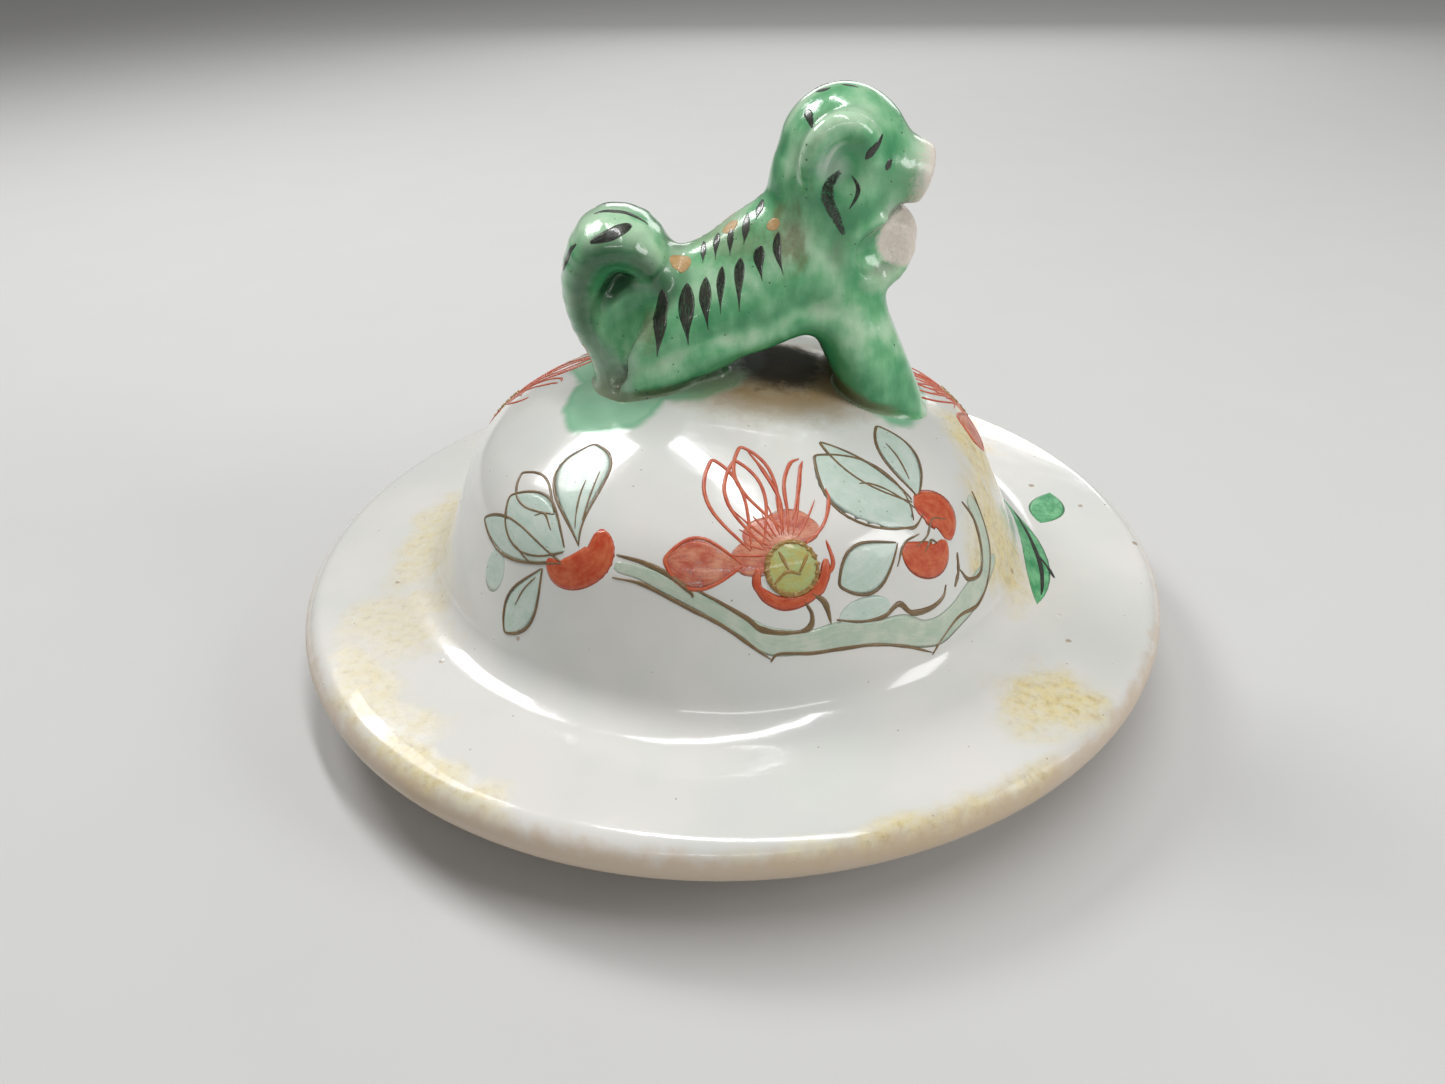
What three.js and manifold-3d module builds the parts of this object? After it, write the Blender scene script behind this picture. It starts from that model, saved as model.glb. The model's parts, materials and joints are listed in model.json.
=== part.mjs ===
// Porcelain jar lid with a foo dog (guardian lion) finial.
// Millimetres, +Z up. The origin is the centre of the foot ring that the lid stands on,
// and the lion looks along +X, with its own left side towards +Y.
import * as THREE from 'three';
import { mergeVertices } from 'three/addons/utils/BufferGeometryUtils.js';
import Module from 'manifold-3d';

const wasm = await Module();
wasm.setup();
const { Manifold, Mesh: SolidMesh } = wasm;

// ---------- driving dimensions ----------
// Thrown lid: a low domed crown on a leaning side, with a wide flange round it.
const FLANGE_RADIUS = 50;        // overall, out to the edge of the lip
const LIP_THICKNESS = 4.6;       // flange thickness at its rounded edge
const FLANGE_FALL = 0.3;         // how far the top of the flange drops towards the lip
const DOME_FOOT_RADIUS = 34.8;   // where the side of the dome meets the flange
const DOME_HEIGHT = 23.5;        // crown above the flat of the flange
const CROWN_RADIUS = 51.7;       // spherical radius of the crown
const SHOULDER_RADIUS = 10;      // rounding between crown and side
const SIDE_LEAN = 23.3;          // degrees that the side leans in from upright
const WALL = 3.8;                // thrown wall
const DOME_FILLET = 1.6;         // hollow corner between side and flange

// Collar that centres the lid in the jar's neck, and that it stands on.
const COLLAR_DEPTH = 6;
const COLLAR_OUTSET = 0.6;       // collar's outside, beyond the foot of the dome
const COLLAR_WALL = 3.2;
const COLLAR_CHAMFER = 0.5;
const COLLAR_TAPER = 0.4;

// Joints: slip holds every piece to the next, through a gap that is left between them.
const LUTING_GAP = 0.3;
const SLIP_THICKNESS = 0.6;
const SLIP_MARGIN = 0.5;         // how far the slip squeezes out round a foot

// Lion: its sizes are measured from the top of the crown.
const BODY_HALF_WIDTH = 7.6;
const BODY_HALF_DEPTH = 6.5;
const LEG_SPREAD = 5.3;          // from the middle plane to the middle of a leg
const LEG_HALF_WIDTH = 3.2;
const HEAD_HALF = { length: 6.5, width: 6.8, height: 7.4 };
const HEAD_CENTRE = { x: 12.3, z: 20.9 };
const MUZZLE_HALF_WIDTH = 4.9;
const JAW_HALF_WIDTH = 4.4;
const EAR_HALF = { length: 3.2, width: 1.7, height: 3.3 };
const TAIL_HALF_WIDTH = 4.8;
const TAIL_HALF_DEPTH = 2.7;
const TAIL_WEB_HALF = { length: 3.6, width: 1.6, height: 6.2 };
const FORE_FOOT = { x: 17.2, halfLength: 4.2, halfWidth: 3.4 };
const HIND_FOOT = { x: -2.4, halfLength: 5.2, halfWidth: 3.1 };
const TAIL_FOOT = { x: -11.8, halfLength: 2.4, halfWidth: 3.8 };

// ---------- fineness ----------
const TURNS = 64;                // facets round the lid
const ARC_STEPS = 6;             // facets along each arc of its profile

// ---------- finishes ----------
const glaze = { color: 0xe4e9ea, roughness: 0.14, metalness: 0 };
const biscuit = { color: 0xd8cdc2, roughness: 0.7, metalness: 0 };
const enamel = { color: 0x4c9a74, roughness: 0.22, metalness: 0 };

const COLLAR_RADIUS = DOME_FOOT_RADIUS + COLLAR_OUTSET;
const FLANGE_TOP = COLLAR_DEPTH + LIP_THICKNESS;
const CROWN_TOP = FLANGE_TOP + DOME_HEIGHT;

// ---------- solids ----------
function solid(geometry) {
  const bare = geometry.clone();
  bare.deleteAttribute('normal');
  bare.deleteAttribute('uv');
  const merged = mergeVertices(bare, 1e-4);
  return new Manifold(new SolidMesh({
    numProp: 3,
    vertProperties: new Float32Array(merged.attributes.position.array),
    triVerts: new Uint32Array(merged.index.array),
  }));
}

function piece(name, body, finish) {
  const mesh = body.getMesh();
  const geometry = new THREE.BufferGeometry();
  geometry.setAttribute('position', new THREE.BufferAttribute(mesh.vertProperties, 3));
  geometry.setIndex(new THREE.BufferAttribute(mesh.triVerts, 1));
  geometry.computeVertexNormals();
  const part = new THREE.Mesh(geometry, new THREE.MeshStandardMaterial(finish));
  part.name = name;
  return part;
}

// A profile of [radius, height] points, turned about Z. It runs from the top down its outside.
function turned(profile) {
  const points = profile.map(([radius, height]) => new THREE.Vector2(radius, height)).reverse();
  return solid(new THREE.LatheGeometry(points, TURNS).rotateX(Math.PI / 2));
}

// Points on an arc, from one angle to another in degrees.
function arc(centre, radius, from, to) {
  const curve = new THREE.EllipseCurve(
    centre[0], centre[1], radius, radius,
    THREE.MathUtils.degToRad(from), THREE.MathUtils.degToRad(to), to < from,
  );
  return curve.getPoints(ARC_STEPS).map((point) => [point.x, point.y]);
}

// ---------- lid ----------
// Outline of the dome from the axis to the flange: crown arc, shoulder arc, leaning side.
// A positive inset gives the parallel surface inside it, a negative one the surface outside.
function domeOutline(inset) {
  const lean = THREE.MathUtils.degToRad(SIDE_LEAN);
  const crownCentre = CROWN_TOP - CROWN_RADIUS;
  const start = [
    DOME_FOOT_RADIUS - SHOULDER_RADIUS * Math.cos(lean),
    FLANGE_TOP - SHOULDER_RADIUS * Math.sin(lean) - crownCentre,
  ];
  const reach = CROWN_RADIUS - SHOULDER_RADIUS;
  const along = -start[0] * Math.sin(lean) + start[1] * Math.cos(lean);
  const rise = -along + Math.sqrt(along ** 2 - start[0] ** 2 - start[1] ** 2 + reach ** 2);
  const shoulder = [
    start[0] - rise * Math.sin(lean),
    start[1] + rise * Math.cos(lean) + crownCentre,
  ];
  const meet = THREE.MathUtils.radToDeg(Math.atan2(shoulder[1] - crownCentre, shoulder[0]));
  return [
    ...arc([0, crownCentre], CROWN_RADIUS - inset, 90, meet),
    ...arc(shoulder, SHOULDER_RADIUS - inset, meet, SIDE_LEAN).slice(1),
  ];
}

// Radius of the leaning side, moved in by the inset, at a height.
function sideRadius(height, inset) {
  const lean = THREE.MathUtils.degToRad(SIDE_LEAN);
  return DOME_FOOT_RADIUS - inset / Math.cos(lean) - (height - FLANGE_TOP) * Math.tan(lean);
}

function lidShell() {
  const lip = LIP_THICKNESS / 2 - FLANGE_FALL / 2;
  const lipCentre = [FLANGE_RADIUS - lip, COLLAR_DEPTH + lip];
  const filletFoot = DOME_FOOT_RADIUS + DOME_FILLET;
  const grooveTop = COLLAR_DEPTH + LUTING_GAP;
  const grooveRadius = COLLAR_RADIUS + LUTING_GAP;
  return turned([
    ...domeOutline(0),
    [sideRadius(FLANGE_TOP + DOME_FILLET, 0), FLANGE_TOP + DOME_FILLET],
    [sideRadius(FLANGE_TOP + DOME_FILLET / 3, 0) + DOME_FILLET / 6, FLANGE_TOP + DOME_FILLET / 3],
    [filletFoot, FLANGE_TOP],
    ...arc(lipCentre, lip, 90, -90),
    [grooveRadius, COLLAR_DEPTH],
    [grooveRadius, grooveTop],
    [sideRadius(grooveTop, WALL), grooveTop],
    ...domeOutline(WALL).reverse(),
  ]);
}

// The collar's top is flush with the seat that rests on the jar, in a groove under the flange.
function locatingCollar() {
  const top = COLLAR_DEPTH;
  const chamfer = COLLAR_CHAMFER;
  const inner = COLLAR_RADIUS - COLLAR_WALL;
  const foot = COLLAR_RADIUS - COLLAR_TAPER;
  return turned([
    [inner, top],
    [COLLAR_RADIUS, top],
    [foot, chamfer],
    [foot - chamfer, 0],
    [inner + chamfer, 0],
    [inner, chamfer],
    [inner, top],
  ]);
}

// Everything under a surface that lies a height above the dome.
function underDome(height) {
  return turned([
    ...domeOutline(-height),
    [sideRadius(FLANGE_TOP, -height), FLANGE_TOP],
    [0, FLANGE_TOP],
  ]);
}

// ---------- lion ----------
// A rounded limb: a sphere drawn out from pole to pole along a smooth curve through the
// stations. Each station is { at: [x, y, z], wide, deep }, with z from the top of the crown,
// wide the half width across Y and deep the half thickness in the plane of the curve. Both
// ends are rounded, and grow swells the limb by that much all over.
function limb(stations, { grow = 0, around = 18, along = 12, bluntness = 5 } = {}) {
  const points = stations.map(({ at }) => new THREE.Vector3(at[0], at[1], at[2] + CROWN_TOP));
  const curve = new THREE.CatmullRomCurve3(points, false, 'centripetal');
  const sizes = new THREE.CatmullRomCurve3(
    stations.map(({ wide, deep }) => new THREE.Vector3(wide, deep, 0)),
  );
  const geometry = new THREE.SphereGeometry(1, around, along);
  const position = geometry.attributes.position;
  const vertex = new THREE.Vector3();
  for (let i = 0; i < position.count; i += 1) {
    vertex.fromBufferAttribute(position, i);
    const travel = Math.acos(THREE.MathUtils.clamp(vertex.y, -1, 1)) / Math.PI;
    const turn = Math.atan2(vertex.z, vertex.x);
    const isPole = Math.hypot(vertex.x, vertex.z) < 1e-6;
    const tangent = curve.getTangent(travel);
    const across = new THREE.Vector3(0, 1, 0).addScaledVector(tangent, -tangent.y).normalize();
    const normal = new THREE.Vector3().crossVectors(across, tangent);
    const size = sizes.getPoint(travel);
    const ends = isPole ? 0 : Math.sqrt(1 - Math.abs(2 * travel - 1) ** bluntness);
    curve.getPoint(travel, vertex);
    vertex.addScaledVector(tangent, grow * (2 * travel - 1));
    vertex.addScaledVector(across, (size.x + grow) * ends * Math.sin(turn));
    vertex.addScaledVector(normal, (size.y + grow) * ends * Math.cos(turn));
    position.setXYZ(i, vertex.x, vertex.y, vertex.z);
  }
  return solid(geometry);
}

// An egg shape with its middle at [x, y, z], z from the top of the crown.
function egg(at, half, grow = 0, facets = 24) {
  const geometry = new THREE.SphereGeometry(1, facets, facets / 2);
  geometry.rotateX(Math.PI / 2);
  geometry.scale(half.length + grow, half.width + grow, half.height + grow);
  geometry.translate(at[0], at[1], at[2] + CROWN_TOP);
  return solid(geometry);
}

// Rump, back and neck in one sweep: the back rises from the saddle into an upright neck.
function torso(grow = 0) {
  const wide = BODY_HALF_WIDTH;
  const deep = BODY_HALF_DEPTH;
  return limb([
    { at: [-10.2, 0, 5.2], wide: wide * 0.7, deep: deep * 0.78 },
    { at: [-5.5, 0, 6.2], wide: wide * 0.95, deep: deep * 0.92 },
    { at: [0.3, 0, 7.8], wide, deep },
    { at: [6.2, 0, 10.6], wide, deep: deep * 1.08 },
    { at: [10.8, 0, 13.6], wide: wide * 0.9, deep: deep * 0.97 },
    { at: [12.2, 0, 18.6], wide: wide * 0.6, deep: deep * 0.7 },
  ], { grow, around: 28, along: 18 });
}

// Skull and upturned muzzle, modelled in one.
function head(grow = 0) {
  const { x, z } = HEAD_CENTRE;
  const skull = egg([x, 0, z], HEAD_HALF, grow, 26);
  const muzzle = limb([
    { at: [x, 0, z - 1.4], wide: MUZZLE_HALF_WIDTH, deep: 3.7 },
    { at: [x + 4.7, 0, z - 1.4], wide: MUZZLE_HALF_WIDTH, deep: 3.6 },
    { at: [x + 8.8, 0, z - 0.4], wide: MUZZLE_HALF_WIDTH * 0.75, deep: 2.4 },
  ], { grow });
  return skull.add(muzzle);
}

function lowerJaw(grow = 0) {
  const { x, z } = HEAD_CENTRE;
  return limb([
    { at: [x + 0.4, 0, z - 8.1], wide: JAW_HALF_WIDTH, deep: 3.2 },
    { at: [x + 3.9, 0, z - 8.3], wide: JAW_HALF_WIDTH, deep: 2.9 },
    { at: [x + 7.4, 0, z - 7.5], wide: JAW_HALF_WIDTH * 0.8, deep: 2.1 },
  ], { grow });
}

function ear(side) {
  const at = [HEAD_CENTRE.x - 0.5, side * (HEAD_HALF.width - 0.9), HEAD_CENTRE.z + 2.2];
  return egg(at, EAR_HALF, 0, 16);
}

function foreleg(side) {
  const y = side * LEG_SPREAD;
  return limb([
    { at: [13.0, y * 0.9, 8.6], wide: LEG_HALF_WIDTH * 0.9, deep: 3.5 },
    { at: [13.7, y * 0.97, 5.2], wide: LEG_HALF_WIDTH, deep: 3.8 },
    { at: [15.0, y, 1.2], wide: LEG_HALF_WIDTH, deep: 4.0 },
    { at: [17.3, y, -3.0], wide: LEG_HALF_WIDTH * 1.06, deep: 4.3 },
    { at: [18.8, y, -6.8], wide: LEG_HALF_WIDTH * 1.06, deep: 4.0 },
  ]);
}

function hindLeg(side) {
  const y = side * LEG_SPREAD;
  return limb([
    { at: [-6.4, y * 0.9, 6.4], wide: LEG_HALF_WIDTH * 0.9, deep: 2.7 },
    { at: [-7.2, y, 2.4], wide: LEG_HALF_WIDTH, deep: 2.8 },
    { at: [-4.2, y, -0.2], wide: LEG_HALF_WIDTH, deep: 2.6 },
    { at: [2.4, y * 0.95, -0.6], wide: LEG_HALF_WIDTH * 0.9, deep: 2.3 },
  ]);
}

// A broad brush that stands up behind the rump and curls forward on to the back, with a
// thin web of clay that closes its loop.
function tail() {
  const wide = TAIL_HALF_WIDTH;
  const deep = TAIL_HALF_DEPTH;
  const brush = limb([
    { at: [-11.2, 0, -3.4], wide: wide * 0.8, deep: deep * 0.85 },
    { at: [-12.4, 0, 2.6], wide: wide * 0.85, deep: deep * 0.85 },
    { at: [-14.0, 0, 8.4], wide, deep },
    { at: [-11.6, 0, 13.4], wide, deep: deep * 1.1 },
    { at: [-6.6, 0, 11.6], wide: wide * 0.7, deep: deep * 0.8 },
  ], { along: 18 });
  return brush.add(egg([-10.6, 0, 6.8], TAIL_WEB_HALF, 0, 16));
}

// A dab of slip under a foot: the disc round the foot that lies close over the dome.
function slipDab({ x, y, halfLength, halfWidth }) {
  const outline = new THREE.Shape();
  outline.absellipse(x, y, halfLength + SLIP_MARGIN, halfWidth + SLIP_MARGIN, 0, 2 * Math.PI, false, 0);
  const prism = new THREE.ExtrudeGeometry(outline, {
    depth: DOME_HEIGHT, bevelEnabled: false, curveSegments: 12,
  });
  prism.translate(0, 0, FLANGE_TOP + WALL);
  return solid(prism)
    .intersect(underDome(LUTING_GAP + SLIP_THICKNESS))
    .subtract(underDome(LUTING_GAP));
}

// ---------- assembly ----------
const lion = { torso: torso(), head: head() };
const room = { torso: torso(LUTING_GAP), head: head(LUTING_GAP), jaw: lowerJaw(LUTING_GAP) };
const seat = underDome(SLIP_THICKNESS + 2 * LUTING_GAP);
const jaw = lowerJaw().subtract(room.torso).subtract(room.head);

const group = new THREE.Group();
group.add(piece('lid_shell', lidShell(), glaze));
group.add(piece('locating_collar', locatingCollar(), biscuit));
group.add(piece('lion_torso', lion.torso.subtract(seat), enamel));
group.add(piece('lion_head', lion.head.subtract(room.torso), enamel));
group.add(piece('lion_lower_jaw', jaw, enamel));
group.add(piece('lion_tail', tail().subtract(room.torso).subtract(seat), enamel));
group.add(piece('slip_under_tail', slipDab({ ...TAIL_FOOT, y: 0 }), biscuit));

for (const { name, sign } of [{ name: 'left', sign: 1 }, { name: 'right', sign: -1 }]) {
  const y = sign * LEG_SPREAD;
  const fore = foreleg(sign).subtract(room.torso).subtract(room.jaw).subtract(seat);
  const hind = hindLeg(sign).subtract(room.torso).subtract(seat);
  group.add(piece(`lion_ear_${name}`, ear(sign).subtract(room.head), enamel));
  group.add(piece(`lion_foreleg_${name}`, fore, enamel));
  group.add(piece(`lion_hind_leg_${name}`, hind, enamel));
  group.add(piece(`slip_under_foreleg_${name}`, slipDab({ ...FORE_FOOT, y }), biscuit));
  group.add(piece(`slip_under_hind_leg_${name}`, slipDab({ ...HIND_FOOT, y }), biscuit));
}

export default group;
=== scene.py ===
"""Porcelain jar lid with a foo dog finial: fine surfaces and fired finishes round the CAD frame.

Sizes are in millimetres inside the functions and become metres when a mesh is made. X is the
way the lion looks, Z is up, and the side that faces -Y is the lion's right.
"""
import json
import math

import bpy
import numpy as np
from bpy.props import FloatProperty, FloatVectorProperty, IntProperty, PointerProperty
from mathutils import Matrix, Vector

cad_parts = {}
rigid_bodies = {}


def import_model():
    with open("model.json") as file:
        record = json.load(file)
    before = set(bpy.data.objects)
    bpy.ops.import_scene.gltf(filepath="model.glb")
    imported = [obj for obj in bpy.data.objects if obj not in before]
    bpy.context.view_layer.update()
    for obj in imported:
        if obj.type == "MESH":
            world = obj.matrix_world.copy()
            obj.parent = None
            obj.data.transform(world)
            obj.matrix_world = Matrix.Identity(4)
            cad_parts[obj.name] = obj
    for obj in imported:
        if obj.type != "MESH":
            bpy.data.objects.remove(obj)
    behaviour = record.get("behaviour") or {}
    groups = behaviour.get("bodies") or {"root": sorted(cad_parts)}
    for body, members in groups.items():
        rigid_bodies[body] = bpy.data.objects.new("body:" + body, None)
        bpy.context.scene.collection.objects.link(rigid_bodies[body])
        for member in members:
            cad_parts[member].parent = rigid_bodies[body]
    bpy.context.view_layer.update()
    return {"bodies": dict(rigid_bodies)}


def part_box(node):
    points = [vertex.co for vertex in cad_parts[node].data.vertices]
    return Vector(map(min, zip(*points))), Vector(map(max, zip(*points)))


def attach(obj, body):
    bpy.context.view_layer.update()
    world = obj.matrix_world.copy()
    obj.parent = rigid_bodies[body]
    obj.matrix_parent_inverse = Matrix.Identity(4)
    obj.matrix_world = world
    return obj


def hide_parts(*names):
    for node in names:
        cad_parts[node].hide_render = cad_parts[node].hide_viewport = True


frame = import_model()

bl_info = {
    "name": "Foo Dog Jar Lid",
    "version": (1, 0, 0),
    "blender": (4, 5, 0),
    "location": "View3D > Sidebar > Jar Lid",
    "description": "Makes a porcelain jar lid with a guardian lion finial and its painted enamels",
    "category": "Add Mesh",
}

MM = 0.001
ROOT = sorted(frame["bodies"])[0]
LID_LOW, LID_HIGH = (np.array(corner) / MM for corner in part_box("lid_shell"))
COLLAR_LOW, COLLAR_HIGH = (np.array(corner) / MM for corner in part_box("locating_collar"))


# ---------- arithmetic on arrays ----------
def soft_min(a, b, blend):
    """The smaller of two fields, with a fillet of about the blend's size where they meet."""
    share = np.clip(0.5 + 0.5 * (b - a) / blend, 0, 1)
    return b + (a - b) * share - blend * share * (1 - share)


def soft_max(a, b, blend):
    """The larger of two fields, with a rounded edge where they meet."""
    return -soft_min(-a, -b, blend)


def step_between(value, low, high):
    """0 below low and 1 above high, with a smooth cubic between."""
    share = np.clip((value - low) / (high - low), 0, 1)
    return share * share * (3 - 2 * share)


def through(points, count):
    """A Catmull-Rom curve through rows of numbers, resampled to count rows."""
    rows = np.asarray(points, float)
    if len(rows) < 3:
        return rows[0] + np.linspace(0, 1, count)[:, None] * (rows[-1] - rows[0])
    padded = np.vstack([2 * rows[0] - rows[1], rows, 2 * rows[-1] - rows[-2]])
    travel = np.linspace(0, len(rows) - 1 - 1e-9, count)
    first = travel.astype(int)
    t = (travel - first)[:, None]
    a, b, c, d = (padded[first + i] for i in range(4))
    return 0.5 * (2 * b + (c - a) * t + (2 * a - 5 * b + 4 * c - d) * t ** 2
                  + (3 * b - a - 3 * c + d) * t ** 3)


def unit(vectors):
    """Each row divided by its length."""
    return vectors / np.maximum(np.linalg.norm(vectors, axis=-1, keepdims=True), 1e-12)


# ---------- meshes ----------
def mesh_object(name, vertices, faces, material, uv=None, normals=None, attributes=None):
    """A smooth mesh at the origin, from vertices in millimetres and arrays of face corners,
    one array for each number of corners."""
    mesh = bpy.data.meshes.new(name)
    corners = np.concatenate([np.asarray(group).ravel() for group in faces])
    sizes = np.concatenate([np.full(len(group), group.shape[1]) for group in faces])
    mesh.vertices.add(len(vertices))
    mesh.vertices.foreach_set("co", (np.asarray(vertices, float) * MM).ravel())
    mesh.loops.add(len(corners))
    mesh.loops.foreach_set("vertex_index", corners)
    mesh.polygons.add(len(sizes))
    mesh.polygons.foreach_set("loop_start", np.cumsum(sizes) - sizes)
    mesh.polygons.foreach_set("use_smooth", np.ones(len(sizes), bool))
    mesh.update(calc_edges=True)
    if uv is not None:
        layer = mesh.uv_layers.new(name="UVMap")
        layer.data.foreach_set("uv", np.asarray(uv, float)[corners].ravel())
    for key, values in (attributes or {}).items():
        mesh.attributes.new(key, "FLOAT", "POINT").data.foreach_set("value", values)
    if normals is not None:
        mesh.normals_split_custom_set_from_vertices(normals)
    mesh.materials.append(material)
    piece = bpy.data.objects.new(name, mesh)
    bpy.context.scene.collection.objects.link(piece)
    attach(piece, ROOT)
    return piece


def closed_tube(rings, first, last):
    """Vertices and faces of a row of rings of points, closed at each end by a fan of
    triangles round a pole."""
    rows, turns = rings.shape[:2]
    points = np.vstack([rings.reshape(-1, 3), first, last])
    here = np.arange(turns)
    after = np.roll(here, -1)
    end = (rows - 1) * turns
    start_fan = np.stack([np.full(turns, rows * turns), here, after], 1)
    end_fan = np.stack([end + here, np.full(turns, rows * turns + 1), end + after], 1)
    return points, grid_faces(rows, turns, wrap_columns=True), np.vstack([start_fan, end_fan])


def grid_faces(rows, columns, wrap_rows=False, wrap_columns=False):
    """Quads of a grid of vertices that are numbered along its columns first."""
    number = np.arange(rows * columns).reshape(rows, columns)
    below = np.roll(number, -1, 0) if wrap_rows else number[1:]
    number = number if wrap_rows else number[:-1]
    if wrap_columns:
        right, below_right = np.roll(number, -1, 1), np.roll(below, -1, 1)
    else:
        right, below_right = number[:, 1:], below[:, 1:]
        number, below = number[:, :-1], below[:, :-1]
    return np.stack([number, below, below_right, right], -1).reshape(-1, 4)


# ---------- shader sums ----------
class Value:
    """An output of a shader node. Arithmetic on it adds the Math nodes that work it out."""

    def __init__(self, finish, socket):
        self.finish = finish
        self.socket = socket

    def math(self, operation, *terms):
        return self.finish.node("Math", {"operation": operation}, dict(enumerate(terms)))

    def __add__(self, other):
        return self.math("ADD", self, other)

    __radd__ = __add__

    def __mul__(self, other):
        return self.math("MULTIPLY", self, other)

    __rmul__ = __mul__

    def __sub__(self, other):
        return self.math("SUBTRACT", self, other)

    def __rsub__(self, other):
        return self.math("SUBTRACT", other, self)

    def __truediv__(self, other):
        return self.math("DIVIDE", self, other)

    def __pow__(self, other):
        return self.math("POWER", self, other)

    def __abs__(self):
        return self.math("ABSOLUTE", self)

    def low(self, other):
        return self.math("MINIMUM", self, other)

    def high(self, other):
        return self.math("MAXIMUM", self, other)

    def rise(self, low, high):
        """0 below low, 1 above high, smooth between. A fall has low above high."""
        settings = {"interpolation_type": "SMOOTHSTEP"}
        if low < high:
            return self.finish.node("MapRange", settings, {0: self, 1: low, 2: high})
        return 1 - self.finish.node("MapRange", settings, {0: self, 1: high, 2: low})


class Finish:
    """A material being built round one Principled shader."""

    def __init__(self, name, **constants):
        self.material = bpy.data.materials.new(name)
        self.material.use_nodes = True
        self.tree = self.material.node_tree
        self.shader = self.tree.nodes["Principled BSDF"]
        for label, value in constants.items():
            self.shader.inputs[label.replace("_", " ")].default_value = value

    def node(self, kind, settings=None, inputs=None, output=0):
        """Adds a node, sets what settings says, and then fills or links its inputs."""
        made = self.tree.nodes.new("ShaderNode" + kind)
        for label, value in (settings or {}).items():
            setattr(made, label, value)
        for label, value in (inputs or {}).items():
            if isinstance(value, Value):
                self.tree.links.new(value.socket, made.inputs[label])
            else:
                made.inputs[label].default_value = value
        return Value(self, made.outputs[output])

    def feed(self, label, value):
        self.tree.links.new(value.socket, self.shader.inputs[label])

    def place(self, stretch=(1, 1, 1)):
        """The object's own coordinates in millimetres, each times its stretch."""
        found = self.node("TexCoord", output="Object")
        scale = tuple(s / MM for s in stretch)
        return self.node("VectorMath", {"operation": "MULTIPLY"}, {0: found, 1: scale})

    def axes(self, vector):
        return tuple(self.node("SeparateXYZ", None, {0: vector}, output=i) for i in range(3))

    def noise(self, vector, scale, detail=3.0, rough=0.55):
        inputs = {"Vector": vector, "Scale": scale, "Detail": detail, "Roughness": rough}
        return self.node("TexNoise", None, inputs)

    def specks(self, vector, scale, share, size):
        """Small round dots in a random share of the cells of a Voronoi pattern."""
        cell = {"Vector": vector, "Scale": scale}
        distance = self.node("TexVoronoi", None, cell)
        tint = self.node("TexVoronoi", None, cell, output=1)
        chance = self.axes(tint)[0]
        return distance.rise(size, size * 0.45) * chance.rise(share, share - 0.004)

    def mix(self, mask, *colours):
        """The first colour where the mask is 0 and the second where it is 1."""
        first, second = (c if isinstance(c, Value) else (*c, 1) for c in colours)
        return self.node("Mix", {"data_type": "RGBA"}, {0: mask, 6: first, 7: second}, output=2)

    def attribute(self, name):
        return self.node("Attribute", {"attribute_name": name}, output="Fac")

    def bump(self, height, distance, strength=1.0):
        """Feeds Normal from a height of 0 to 1 that stands for a distance in millimetres."""
        inputs = {"Height": height, "Distance": distance * MM, "Strength": strength}
        self.feed("Normal", self.node("Bump", None, inputs))


def near(axes, centre, reach):
    """Distance from a centre in units of a reach along each axis: 1 on that ellipsoid. An
    axis whose reach is None doesn't count."""
    total = 0.0
    for axis, middle, half in zip(axes, centre, reach):
        if half is not None:
            total = ((axis - middle) / half) ** 2.0 + total
    return total ** 0.5


# ---------- the lid's surface ----------
def arc(centre, radius, start, stop, count):
    """Points on an ellipse from one angle to another, in degrees from the outward direction."""
    angle = np.radians(np.linspace(start, stop, count))[:, None]
    return np.asarray(centre) + np.asarray(radius) * np.hstack([np.cos(angle), np.sin(angle)])


def bend(first, corner, last, count):
    """A quadratic Bezier curve."""
    t = np.linspace(0, 1, count)[:, None]
    first, corner, last = (np.asarray(p, float) for p in (first, corner, last))
    return first * (1 - t) ** 2 + corner * 2 * t * (1 - t) + last * t ** 2


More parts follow.
